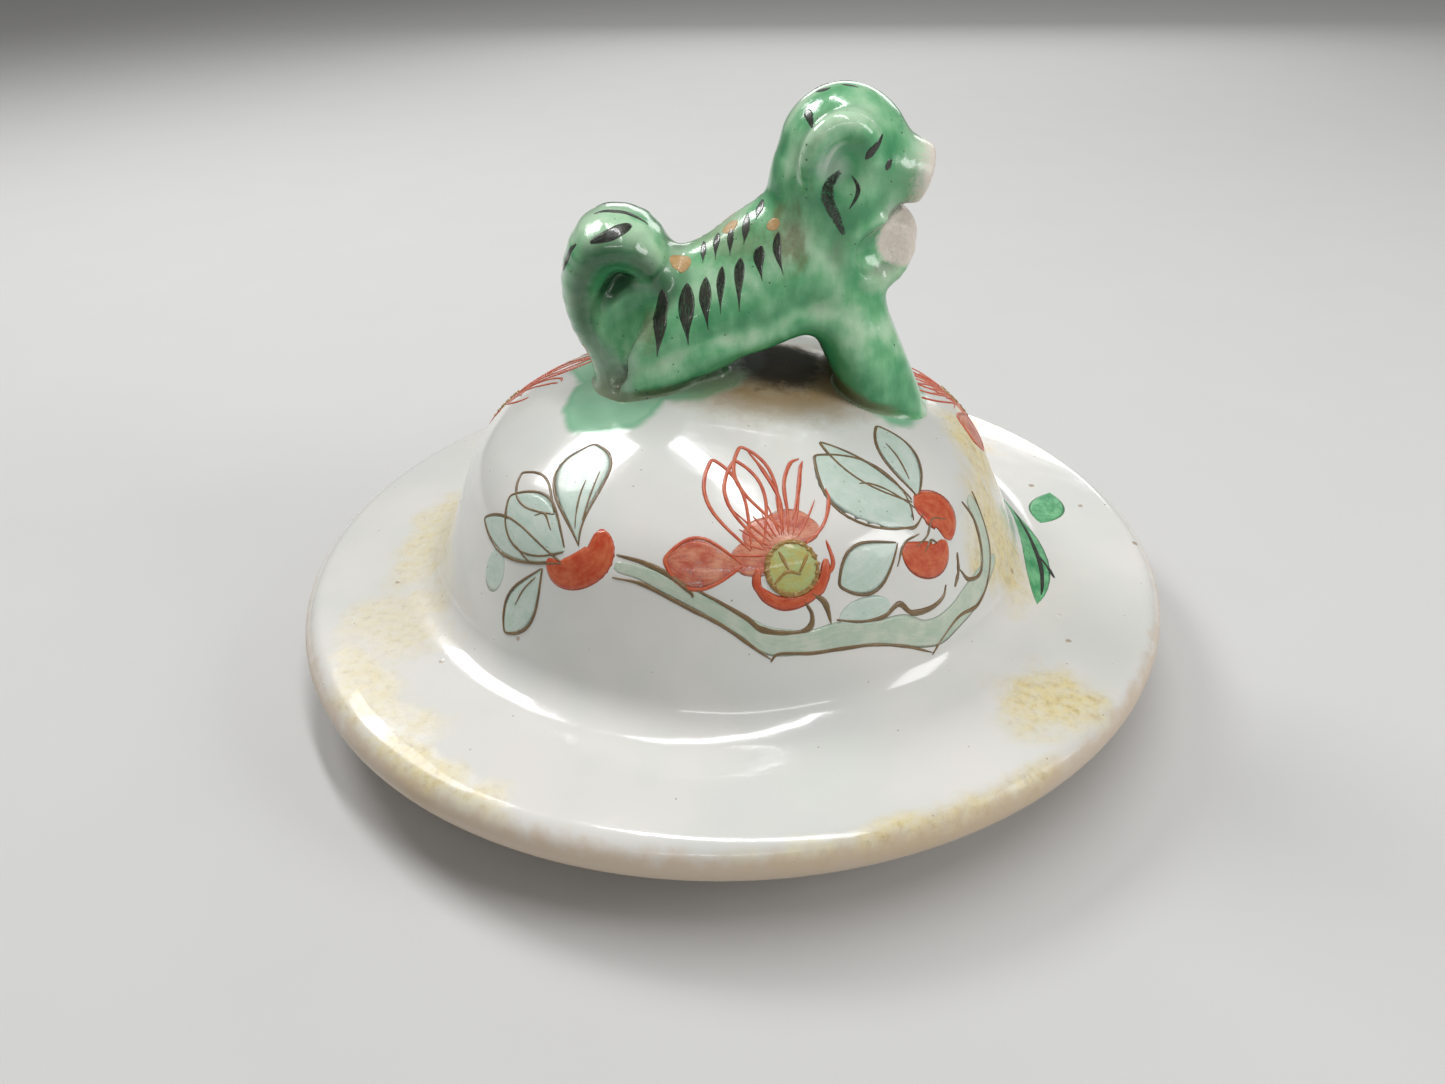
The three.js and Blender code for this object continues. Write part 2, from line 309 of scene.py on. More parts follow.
class Lid:
    """The turned outline of the lid, from the sizes in the panel and the frame's boxes."""

    def __init__(self, sizes):
        self.sizes = sizes
        self.top = LID_HIGH[2]
        self.seat = LID_LOW[2]
        self.rim = LID_HIGH[0]
        self.flat = self.seat + sizes.lip_thickness / MM
        self.lean = sizes.side_lean
        self.crown_radius = sizes.crown_radius / MM
        self.crown_centre = np.array([0, 0, self.top - self.crown_radius])
        self.outer = self.outside()
        step = np.linalg.norm(np.diff(self.outer, axis=0), axis=1)
        self.reach = np.concatenate([[0], np.cumsum(step)])

    def side(self, height, inset=0.0):
        """Radius of the leaning side at a height."""
        foot = self.sizes.foot_radius / MM - inset / math.cos(self.lean)
        return foot - (height - self.flat) * math.tan(self.lean)

    def dome(self, inset):
        """Crown arc and shoulder arc; the shoulder touches both the crown and the side."""
        shoulder_radius = self.sizes.shoulder_radius / MM
        down = self.crown_centre[2]
        foot = self.sizes.foot_radius / MM
        start = np.array([foot, self.flat - down])
        start = start - shoulder_radius * np.array([math.cos(self.lean), math.sin(self.lean)])
        along = start[1] * math.cos(self.lean) - start[0] * math.sin(self.lean)
        reach = self.crown_radius - shoulder_radius
        rise = math.sqrt(along ** 2 - start @ start + reach ** 2) - along
        centre = start + rise * np.array([-math.sin(self.lean), math.cos(self.lean)])
        meet = math.degrees(math.atan2(centre[1], centre[0]))
        crown = arc((0, down), self.crown_radius - inset, 90, meet, 42)
        centre = centre + (0, down)
        shoulder = arc(centre, shoulder_radius - inset, meet, math.degrees(self.lean), 16)
        return np.vstack([crown, shoulder[1:]])

    def outside(self):
        """Dome, hollow foot, slightly falling flange and the top half of the round lip."""
        flat = self.flat
        dome = self.dome(0)
        low = flat + 3.0
        side = np.stack([self.side(np.linspace(dome[-1, 1], low, 14)),
                         np.linspace(dome[-1, 1], low, 14)], 1)
        foot = bend((self.side(low), low), (self.side(flat + 0.3), flat + 0.25), (38.5, flat + 0.3), 12)
        lip = self.sizes.lip_thickness / MM / 2
        flange = bend(foot[-1], (43, flat + 0.3), (self.rim - lip, flat - 0.04), 14)
        edge = arc((self.rim - lip, self.seat + lip), (lip, lip - 0.04), 90, 0, 10)
        return np.vstack([dome, side[1:], foot[1:], flange[1:], edge[1:]])

    def inside(self):
        """Under half of the lip, flat seat, and the hollow up to the middle of the crown."""
        lip = self.sizes.lip_thickness / MM / 2
        wall = self.sizes.wall / MM
        edge = arc((self.rim - lip, self.seat + lip), lip, 0, -90, 10)
        groove = COLLAR_HIGH[0] + 0.3
        mouth = self.seat + 0.3
        seat = [(groove + 0.15, self.seat), (groove, self.seat + 0.15), (groove, mouth)]
        hollow = self.dome(wall)[::-1]
        rise = np.linspace(mouth, hollow[0, 1], 12)
        side = np.stack([self.side(rise, wall), rise], 1)
        return np.vstack([edge[1:], seat, side[:-1], hollow])

    def collar(self):
        """The ring under the flange, as a closed outline: slightly tapered outside, with worn
        rounded corners at its foot."""
        radius, low, high = COLLAR_HIGH[0], COLLAR_LOW[2], COLLAR_HIGH[2]
        inner = radius - self.sizes.collar_wall / MM
        foot = radius - 0.4
        rounding = 0.7
        heights = np.linspace(high, low + rounding, 9)
        outside = np.stack([np.linspace(radius, foot, 9), heights], 1)
        toe = arc((foot - rounding, low + rounding), rounding, 0, -90, 7)
        heel = arc((inner + rounding, low + rounding), rounding, -90, -180, 7)
        inside = np.stack([np.full(9, inner), heights[::-1]], 1)
        return np.vstack([outside, toe[1:], heel, inside[1:]])

    def surface(self, degrees, down, lift=0.0):
        """Point at an angle from the front and a length down the outline from the crown,
        lifted along the outward normal; positive angles are to the lion's front."""
        radius = np.interp(down, self.reach, self.outer[:, 0])
        height = np.interp(down, self.reach, self.outer[:, 1])
        nudge = 0.6
        run = np.interp(down + nudge, self.reach, self.outer[:, 0]) - radius
        fall = height - np.interp(down + nudge, self.reach, self.outer[:, 1])
        length = np.hypot(run, fall)
        radius, height = radius + lift * fall / length, height + lift * run / length
        angle = np.radians(degrees)
        point = np.stack([radius * np.sin(angle), -radius * np.cos(angle), height], -1)
        return point + glaze_waves(point)[..., None] * unit(point * (1, 1, 0.5))

    def radius_at(self, down):
        return np.interp(down, self.reach, self.outer[:, 0])

    def above(self, points):
        """Height over the crown's sphere."""
        return np.linalg.norm(points - self.crown_centre, axis=-1) - self.crown_radius


def glaze_waves(point):
    """Slow unevenness of hand-thrown clay under thick glaze, as a sum of crossing sine waves
    some 7 to 20 mm long and a few hundredths of a millimetre high; none at the lip's edge."""
    x, y, z = point[..., 0], point[..., 1], point[..., 2]
    waves = (np.sin(0.31 * x + 0.12 * y + 0.4) * np.sin(0.27 * y - 0.2 * z)
             + 0.6 * np.sin(0.55 * x - 0.43 * y + 1.7) * np.sin(0.5 * z + 0.3 * y)
             + 0.4 * np.sin(0.9 * y + 0.35 * x) * np.sin(0.8 * x + 0.5 * z + 1.1))
    return 0.035 * waves * step_between(np.hypot(x, y), 49.6, 46.0)


def carried_round(outline, turns):
    """Rings of points: the outline's radius and height along, the angle round Z across."""
    angle = np.linspace(0, 2 * np.pi, turns, endpoint=False)
    ring = np.stack([np.sin(angle), -np.cos(angle)], -1)
    flat = outline[:, None, :1] * ring[None]
    heights = np.broadcast_to(outline[:, 1][:, None, None], flat.shape[:2] + (1,))
    return np.concatenate([flat, heights], -1)


def turned_mesh(outline, turns):
    """An outline carried round Z, from a pole on the axis to another, with the glaze's waves."""
    first, last = (np.array([0, 0, row[1]]) for row in (outline[0], outline[-1]))
    points, quads, fans = closed_tube(carried_round(outline[1:-1], turns), first, last)
    return points + glaze_waves(points)[:, None] * unit(points * (1, 1, 0.5)), [quads, fans]


def ring_mesh(outline, turns):
    """A closed outline carried round Z."""
    points = carried_round(outline, turns).reshape(-1, 3)
    return points, [grid_faces(len(outline), turns, wrap_rows=True, wrap_columns=True)]


# ---------- the lion's surface ----------
# How far outside a limb its field is still worked out.
FAR = 3.0
# Corners of a tetrahedron.
CORNERS = np.array([[1, 1, 1], [1, -1, -1], [-1, 1, -1], [-1, -1, 1]])
# The box that holds the lion and its fillet: its low corner from the top of the crown, and size.
LION_LOW, LION_SPAN = (-19.5, -11.5, -7.0), np.array([44.0, 23.0, 37.0])


def tapered(points, start, end, radii, flat):
    """Distance to a cone with round ends, drawn out across Y by a factor."""
    stretch = np.array([1, 1 / flat, 1])
    run = (end - start) * stretch
    away = (points - start) * stretch
    share = np.clip(away @ run / max(run @ run, 1e-9), 0, 1)
    gap = np.linalg.norm(away - share[:, None] * run, axis=1)
    return gap - radii[0] - share * (radii[1] - radii[0])


def limb(points, stations, flat=1.0, steps=3):
    """Distance to a limb: tapered cones along a smooth curve through [x, y, z, radius] rows.
    Points too far away to feel it get a large number."""
    rows = through(stations, steps * (len(stations) - 1) + 1) if len(stations) > 2 else np.array(stations)
    reach = rows[:, 3:] * (1, flat, 1) + FAR
    close = np.all((points > (rows[:, :3] - reach).min(0)) & (points < (rows[:, :3] + reach).max(0)), axis=1)
    field = np.full(len(points), 1e3)
    if close.any():
        here = points[close]
        nearest = np.full(len(here), 1e3)
        for low, high in zip(rows[:-1], rows[1:]):
            cone = tapered(here, low[:3], high[:3], (low[3], high[3]), flat)
            nearest = soft_min(nearest, cone, 0.25)
        field[close] = nearest
    return field


def egg(points, centre, half):
    """Roughly the distance to an ellipsoid."""
    scaled = (points - centre) / half
    length = np.linalg.norm(scaled, axis=1)
    return (length - 1) * min(half)


def torso(p):
    """Deep barrel from the haunch up into the neck, with a rounded ridge low on the flank
    that runs on from the folded hind leg and turns down the foreleg."""
    back = limb(p, [[-10.0, 0, 5.4, 4.3], [-5.5, 0, 7.1, 4.8], [0, 0, 8.4, 5.2],
                    [5, 0, 10.8, 5.9], [9.2, 0, 13.4, 6.0], [11.6, 0, 17.2, 5.7]])
    flank = limb(p, [[-8.9, 3.4, 3.2, 3.5], [-5, 3.9, 4.6, 3.6], [-1, 3.9, 6.0, 3.6],
                     [4, 3.8, 7.8, 3.7], [9, 3.4, 10.2, 3.6]])
    ridge = limb(p, [[-2.2, 6.3, 2.9, 1.6], [1.7, 6.2, 4.2, 1.5], [4.6, 6.1, 5.0, 1.4],
                     [8, 5.9, 6.3, 1.5], [11, 5.9, 6.0, 1.5], [13.0, 6.2, 4.2, 1.5],
                     [14.4, 6.6, 1.4, 1.4], [15.4, 6.8, -1.8, 1.3]])
    return soft_min(soft_min(back, flank, 2.4), ridge, 1.1)


def head(p):
    """Round skull, low brow, broad muzzle broken off flat in front, and full cheeks."""
    skull = limb(p, [[11.7, 0, 19.6, 6.3], [12.5, 0, 21.6, 6.5]], flat=1.03)
    brow = limb(p, [[14.0, 2.2, 22.6, 3.2], [15.6, 1.0, 22.9, 2.6]])
    muzzle = limb(p, [[14.5, 0, 19.8, 4.2], [17.8, 0, 19.9, 3.5], [20.8, 0, 19.1, 2.9]], flat=1.4)
    cheek = limb(p, [[12.8, 3.8, 18.2, 2.9], [13.6, 3.6, 15.4, 2.5]])
    whole = soft_min(soft_min(soft_min(skull, brow, 1.5), muzzle, 1.4), cheek, 1.8)
    return soft_max(whole, (p[:, 0] - 21.4) * 0.943 - (p[:, 2] - 20.9) * 0.334, 0.5)


def tail(p):
    """Broad tail that stands up from the haunch and curls forward to lie on the back, with a
    thin web that fills the curl."""
    curl = limb(p, [[-11.6, 0, -2.8, 2.7], [-12.6, 0, 1.2, 2.0], [-14.2, 0, 5.3, 2.2],
                    [-14.4, 0, 9.6, 2.5], [-12.2, 0, 13.4, 3.1], [-9.2, 0, 13.4, 3.0],
                    [-6.6, 0, 10.8, 2.3]], flat=1.95)
    return soft_min(curl, egg(p, (-10.2, 0, 5.3), (4.4, 1.5, 7.0)), 1.0)


def jaw(p):
    """Blunt lower jaw that hangs open, with a rolled rim round the corner of the mouth."""
    block = limb(p, [[12.6, 0, 13.0, 3.6], [15.4, 0, 12.6, 3.5], [17.5, 0, 13.4, 2.9]], flat=1.35)
    rim = limb(p, [[15.6, 5.2, 16.0, 0.9], [13.4, 5.7, 14.6, 1.1], [12.7, 5.5, 12.2, 1.2],
                   [13.5, 4.8, 10.0, 1.2], [15.2, 3.8, 9.3, 1.2], [17.6, 3.0, 10.3, 1.1],
                   [19.0, 2.4, 12.2, 0.9]])
    return soft_min(block, rim, 0.8)


def ear(p):
    """The raised rim of an ear laid back against the skull."""
    return limb(p, [[9.2, 5.5, 19.6, 0.9], [8.9, 6.1, 22.0, 1.2], [9.9, 6.2, 24.2, 1.35],
                    [11.9, 5.9, 25.2, 1.35], [13.8, 5.7, 24.3, 1.25], [14.8, 5.6, 22.0, 0.8]])


def foreleg(p):
    """Straight foreleg set forward, spreading into the slope of the crown."""
    return limb(p, [[12.8, 3.2, 8.8, 3.9], [13.6, 3.8, 5.0, 3.9], [15.2, 4.2, 1.0, 4.0],
                    [16.8, 4.0, -3.0, 4.1], [17.5, 3.8, -5.4, 4.3]])


def hind_leg(p):
    """Folded hind leg: a roll that lies along the crown and rises forward into the flank."""
    roll = limb(p, [[-9.6, 5.2, -0.6, 2.2], [-6.6, 6.0, 0.7, 2.0], [-3.6, 6.3, 2.2, 1.8],
                    [-0.6, 6.3, 3.5, 1.5]])
    under = limb(p, [[-8.4, 3.2, 2.0, 3.0], [-7.6, 3.6, 0.2, 2.7], [-4.6, 3.6, 0.0, 2.4],
                     [-1.5, 3.2, 0.4, 2.0]])
    return soft_min(roll, under, 1.2)


class Lion:
    """The finial's skin: the zero surface of a smooth blend of rounded limbs, less hollows.

    All sizes are from the top of the crown. One side is given, and |y| makes the other."""

    SHAPES = {"lion_torso": torso, "lion_head": head, "lion_lower_jaw": jaw, "lion_ear": ear,
              "lion_tail": tail, "lion_foreleg": foreleg, "lion_hind_leg": hind_leg}

    # Open mouth, dish in the side of the jaw, ear, curl of the tail, space under the belly and
    # the crease under the flank: limb rows, draw-out and blend of each.
    HOLLOWS = [
        ([[18.4, 0, 16.6, 0.15], [20.2, 0, 16.4, 0.4], [23.0, 0, 16.0, 0.9]], 8.0, 0.6),
        ([[15.6, 6.7, 13.2, 2.2], [17.6, 6.1, 13.5, 2.6], [20.2, 5.6, 14.2, 2.4]], 1.0, 0.6),
        ([[11.7, 8.6, 20.8, 2.0], [12.2, 8.8, 22.6, 2.1]], 1.0, 1.2),
        ([[-11.0, 5.4, -0.4, 0.9], [-11.5, 5.4, 3.0, 1.6], [-10.9, 5.3, 6.2, 2.3],
          [-9.3, 5.5, 8.3, 2.1], [-7.2, 6.0, 8.6, 1.2]], 1.0, 0.9),
        ([[3.8, 0, 0.2, 0.6], [7.2, 0, 1.4, 2.3], [10.6, 0, -0.6, 1.0]], 12.0, 1.0),
        ([[-3.4, 8.8, -1.6, 1.0], [0.5, 8.8, 0.6, 1.7], [5, 8.8, 1.9, 2.1], [8.6, 8.8, 2.9, 2.2],
          [10.8, 9.2, 0.8, 1.8], [11.6, 9.8, -2.4, 1.4]], 1.0, 0.6),
    ]

    def __init__(self, lid):
        self.lid = lid
        self.base = np.array([0, 0, lid.top])

    def local(self, points):
        """Points from the top of the crown, folded onto one side."""
        moved = points - self.base
        moved[:, 1] = np.abs(moved[:, 1])
        return moved

    def body(self, points):
        """The lion alone: limbs blended, then hollows cut."""
        local = self.local(points)
        skin = torso(local)
        for shape, blend in ((head, 2.2), (foreleg, 2.2), (hind_leg, 1.3), (jaw, 1.0),
                             (tail, 1.4), (ear, 1.0)):
            skin = soft_min(skin, shape(local), blend)
        for stations, flat, blend in self.HOLLOWS:
            skin = soft_max(skin, -limb(local, stations, flat), blend)
        return skin

    def field(self, points):
        """The lion with a fillet of glaze where it stands on the dome; away from the feet the
        surface runs just under the dome's own glaze."""
        return soft_min(self.body(points), self.lid.above(points) + 0.22, 1.1)

    def probe(self, points, nudge=0.03):
        """The field and its gradient, from its values at the corners of a small tetrahedron."""
        values = np.stack([self.field(points + nudge * corner) for corner in CORNERS])
        return values.mean(0), (values.T @ CORNERS) / (4 * nudge)

    def settle(self, points, rounds):
        """Moves points to the zero surface by Newton's method; also gives the normals there."""
        for _ in range(rounds):
            field, slope = self.probe(points)
            steep = np.maximum((slope ** 2).sum(1), 0.05)
            move = -field[:, None] * slope / steep[:, None]
            points = points + np.clip(move, -0.3, 0.3)
        return points, unit(self.probe(points)[1])


def surface_net(values, corner, step):
    """Quads of the zero surface of a grid of values: a vertex in each cell that the surface
    crosses, at the mean of the crossings on the cell's edges, and a quad round each crossed
    grid edge, which joins the four cells that share it."""
    shape = np.array(values.shape)
    inside = values < 0
    total = np.zeros(tuple(shape - 1) + (3,))
    found = np.zeros(tuple(shape - 1))
    crossings = []
    for axis in range(3):
        low = [slice(None)] * 3
        high = [slice(None)] * 3
        low[axis], high[axis] = slice(0, -1), slice(1, None)
        a, b = values[tuple(low)], values[tuple(high)]
        crossed = inside[tuple(low)] != inside[tuple(high)]
        share = np.where(crossed, a / np.where(crossed, a - b, 1), 0)
        crossings.append((crossed, inside[tuple(low)]))
        others = [i for i in range(3) if i != axis]
        for offset in ((0, 0), (0, 1), (1, 0), (1, 1)):
            window = [slice(None)] * 3
            for other, shift in zip(others, offset):
                window[other] = slice(shift, shape[other] - 1 + shift)
            here = crossed[tuple(window)]
            point = np.zeros(here.shape + (3,))
            point[..., axis] = share[tuple(window)]
            for other, shift in zip(others, offset):
                point[..., other] = shift
            total += point * here[..., None]
            found += here
    active = found > 0
    number = np.full(active.shape, -1)
    number[active] = np.arange(active.sum())
    cells = np.argwhere(active)
    vertices = corner + step * (cells + total[active] / found[active][:, None])
    quads = []
    for axis, (crossed, starts_inside) in enumerate(crossings):
        others = [i for i in range(3) if i != axis]
        spots = np.argwhere(crossed)
        inner = np.all([(spots[:, o] > 0) & (spots[:, o] < shape[o] - 1) for o in others], axis=0)
        spots = spots[inner]
        ring = []
        for back in ((1, 1), (0, 1), (0, 0), (1, 0)):
            cell = spots.copy()
            for other, shift in zip(others, back):
                cell[:, other] -= shift
            ring.append(number[tuple(cell.T)])
        quad = np.stack(ring, 1)
        forward = starts_inside[tuple(spots.T)] ^ (axis == 1)
        quad[~forward] = quad[~forward][:, ::-1]
        quads.append(quad)
    return vertices, np.vstack(quads)


def smoothed(points, faces, rounds):
    """Moves each vertex half way to the mean of its neighbours, a few times."""
    ends = np.vstack([faces[:, [i, (i + 1) % 4]] for i in range(4)])
    count = np.bincount(ends[:, 0], minlength=len(points)) + np.bincount(ends[:, 1], minlength=len(points))
    for _ in range(rounds):
        mean = np.zeros_like(points)
        for axis in range(3):
            mean[:, axis] = (np.bincount(ends[:, 0], points[ends[:, 1], axis], len(points))
                             + np.bincount(ends[:, 1], points[ends[:, 0], axis], len(points)))
        points = 0.5 * points + 0.5 * mean / np.maximum(count, 1)[:, None]
    return points


def lion_skin(lion, step):
    """Vertices, quads and normals of the lion's whole skin, without the part under the glaze."""
    low = lion.base + LION_LOW
    size = np.ceil(LION_SPAN / step / 2).astype(int) * 2 + 1
    axes = [low[i] + step * np.arange(size[i]) for i in range(3)]
    coarse = np.stack(np.meshgrid(*(axis[::2] for axis in axes), indexing="ij"), -1)
    rough = lion.field(coarse.reshape(-1, 3)).reshape(coarse.shape[:3])
    values = rough
    for i in range(3):
        values = np.repeat(values, 2, axis=i).take(np.arange(size[i]), axis=i)
    grid = np.stack(np.meshgrid(*axes, indexing="ij"), -1)
    close = np.abs(values) < 4 * step
    values[close] = lion.field(grid[close])
    points, quads = surface_net(values, low, step)
    points, _ = lion.settle(points, 2)
    points, normals = lion.settle(smoothed(points, quads, 2), 3)
    middle = points[quads].mean(1)
    shown = lion.lid.above(middle) > -0.19
    inner = np.all((middle > low + 2 * step) & (middle < low + step * (size - 3)), axis=1)
    return points, quads[shown & inner], normals


def lion_labels(lion, points):
    """The name of the piece that each point of the skin belongs to: the piece whose own field
    is smallest there, or the slip under the nearest foot out on the fillet."""
    local = lion.local(points)
    side = np.where(points[:, 1] > 0, "_left", "_right")
    names = list(lion.SHAPES)
    fields = np.stack([shape(local) for shape in lion.SHAPES.values()])
    fields[names.index("lion_torso")] -= 0.35
    names = np.array(names)[np.argmin(fields, axis=0)]
    paired = np.isin(names, ["lion_ear", "lion_foreleg", "lion_hind_leg"])
    names = np.where(paired, np.char.add(names, side), names)
    foot = np.where(local[:, 0] > 7, "slip_under_foreleg", "slip_under_hind_leg")
    foot = np.where(local[:, 0] < -10.4, "slip_under_tail", np.char.add(foot, side))
    fillet = (lion.body(points) > 0.12) & (lion.lid.above(points) < 1.5)
    return np.where(fillet, foot, names)


def lion_shading(lion, points, normals):
    """How hollow and how ridged the skin is, 0 to 1, from the field on each side of it, and
    how far it faces up."""
    away = lion.field(points + 1.6 * normals) / 1.6
    within = lion.field(points - 1.6 * normals) / 1.6
    return {"pool": np.clip(1 - away, 0, 1), "ridge": np.clip(1 + within, 0, 1),
            "up": 0.5 + 0.5 * normals[:, 2]}


def skin_piece(points, normals, quads, thickness):
    """A closed shell from some quads of the skin: the quads, the same moved inward and turned
    over, and a wall round every open edge."""
    used, faces = np.unique(quads, return_inverse=True)
    faces = faces.reshape(quads.shape)
    count = len(used)
    edges = np.vstack([faces[:, [i, (i + 1) % 4]] for i in range(4)])
    forward = edges[:, 0] * count + edges[:, 1]
    backward = edges[:, 1] * count + edges[:, 0]
    rim = edges[~np.isin(forward, backward)]
    wall = np.stack([rim[:, 1], rim[:, 0], rim[:, 0] + count, rim[:, 1] + count], 1)
    shell = np.vstack([points[used], points[used] - thickness * normals[used]])
    shaded = np.vstack([normals[used], -normals[used]])
    return used, shell, shaded, np.vstack([faces, faces[:, ::-1] + count, wall])


# ---------- enamel laid on a surface ----------
class Coat:
    """Closed thin skins of one enamel, gathered into one mesh."""

    def __init__(self, columns=9):
        top = np.linspace(-1, 1, columns)
        self.across = np.concatenate([top, top[-2:0:-1]])
        rise = np.minimum((1 - top ** 2) * 2.5, 1)
        self.rise = np.concatenate([rise, np.full(columns - 2, -0.9)])
        self.points, self.quads, self.fans, self.uv = [], [], [], []
        self.count = 0

    def add(self, rings, ends, along):
        """One skin from its rings of points, its two end points and the length along it.
        U is that length, with a start of its own, and V runs from -1 to 1 across."""
        points, quads, fans = closed_tube(rings, *ends)
        shift = 13.7 * len(self.points)
        rows = np.repeat(along + shift, len(self.across))
        uv = np.stack([rows, np.tile(self.across, len(along))], 1)
        tips = [[along[0] + shift, 0], [along[-1] + shift, 0]]
        self.points.append(points)
        self.quads.append(quads + self.count)
        self.fans.append(fans + self.count)
        self.uv.append(np.vstack([uv, tips]))
        self.count += len(points)

    def piece(self, name, slot, material):
        faces = [np.vstack(self.quads), np.vstack(self.fans)]
        return mesh_object(name, np.vstack(self.points), faces, material,
                           uv=np.vstack(self.uv))


def lengths(points):
    """Distance travelled at each row."""
    step = np.linalg.norm(np.diff(points, axis=0), axis=1)
    return np.concatenate([[0], np.cumsum(step)])


def swell(count, low, peak=0.5, power=1.0, trail=None):
    """Half widths of a brush stroke as shares: low at both ends and 1 at the peak. The trail
    is the power past the peak, where a stroke can run out to a hair."""
    t = np.linspace(0, 1, count)
    share = np.where(t < peak, t / peak, (1 - t) / (1 - peak))
    powers = np.where(t < peak, power, power if trail is None else trail)
    return low + (1 - low) * np.sin(0.5 * np.pi * share) ** powers


class LidBrush:
    """Lays enamel on the lid along paths of [degrees from the front, length down] rows."""

    def __init__(self, lid, turn=0.0, seed=1):
        self.lid = lid
        self.turn = turn
        self.random = np.random.default_rng(seed)

    def lay(self, coat, path, halves, lift):
        """A skin along a path: its cross section is flat below and domed above, and its
        middle follows the path at right angles in the chart of the lid's surface."""
        path = np.asarray(path, float)
        scale = np.radians(self.lid.radius_at(path[:, 1]))
        run = np.gradient(path, axis=0)
        run[:, 0] *= scale
        run = unit(run)
        left = np.stack([run[:, 1] / scale, -run[:, 0]], 1)
        spots = path[:, None] + left[:, None] * (halves[:, None] * coat.across)[..., None]
        rings = self.lid.surface(spots[..., 0] + self.turn, spots[..., 1], coat.rise * lift)
        ends = [self.lid.surface(row[0] + self.turn, row[1], 0.2 * lift) for row in path[[0, -1]]]
        flat = np.stack([path[:, 0] * scale, path[:, 1]], 1)
        coat.add(rings, ends, lengths(flat))

    def line(self, coat, points, width, lift=0.085, low=0.25, peak=0.5):
        """A drawn line through some points, swelling from its ends and a little uneven."""
        path = through(points, max(14, 7 * len(points)))
        knots = np.arange(0, len(path) + 6, 3)
        wobble = self.random.normal(size=len(knots))
        uneven = 1 + 0.14 * np.interp(np.arange(len(path)), knots, wobble)
        self.lay(coat, path, 0.5 * width * swell(len(path), low, peak, 0.6) * uneven, lift)

    def petal(self, wash, lines, base, tip, width, fullest=0.62, line_width=0.42, lift=0.04):
        """A wash in a petal's shape, and a drawn line round it if lines is given. Half the
        width is a sine of the way along, bent so that the fullest place lies where it says."""
        base, tip = np.asarray(base, float), np.asarray(tip, float)
        scale = math.radians(float(self.lid.radius_at(0.5 * (base[1] + tip[1]))))
        run = (tip - base) * (scale, 1)
        left = np.array([run[1], -run[0]]) / np.hypot(*run) / (scale, 1)
        t = 0.5 - 0.5 * np.cos(np.linspace(0, np.pi, 17))
        power = math.log(0.5) / math.log(fullest)
        half = 0.5 * width * np.sin(np.pi * t ** power) ** 0.75
        middle = (base * (scale, 1) + t[:, None] * run) / (scale, 1)
        if wash is not None:
            self.lay(wash, middle, np.maximum(half - 0.08, 0.03), lift)
        if lines is not None:
            there, back = middle + left * half[:, None], middle - left * half[:, None]
            edge = through(np.vstack([there, back[-2::-1]])[::2], 44)[1:-2]
            self.lay(lines, edge, 0.5 * line_width * swell(len(edge), 0.35, 0.45, 0.5), 0.085)

    def spot(self, coat, centre, half_width, half_height, lift=0.07):
        """A round or oval spot."""
        angle = np.linspace(0, np.pi, 19)
        scale = math.radians(float(self.lid.radius_at(centre[1])))
        around = centre[0] - half_width / scale * np.cos(angle)
        path = np.stack([around, np.full(19, centre[1])], 1)
        self.lay(coat, path, np.maximum(half_height * np.sin(angle), 0.03), lift)


class LionBrush:
    """Lays enamel on the lion along paths of [x, y, z] rows from the top of the crown."""

    def __init__(self, lion):
        self.lion = lion

    def lay(self, coat, points, width, low=0.1, peak=0.35, lift=0.03, power=0.8, trail=None):
        """A stroke whose middle and whose every ring are moved onto the skin."""
        path = through(points, 22) + self.lion.base
        middle, normal = self.lion.settle(path, 14)
        run = unit(np.gradient(middle, axis=0))
        left = unit(np.cross(normal, run))
        halves = 0.5 * width * swell(len(path), low, peak, power, trail)
        spots = middle[:, None] + left[:, None] * (halves[:, None] * coat.across)[..., None]
        skin, normals = self.lion.settle(spots.reshape(-1, 3), 5)
        raised = skin + normals * np.tile(coat.rise * lift, len(path))[:, None]
        rings = raised.reshape(spots.shape)
        ends = [middle[i] + 0.2 * lift * normal[i] for i in (0, -1)]
        coat.add(rings, ends, lengths(middle))


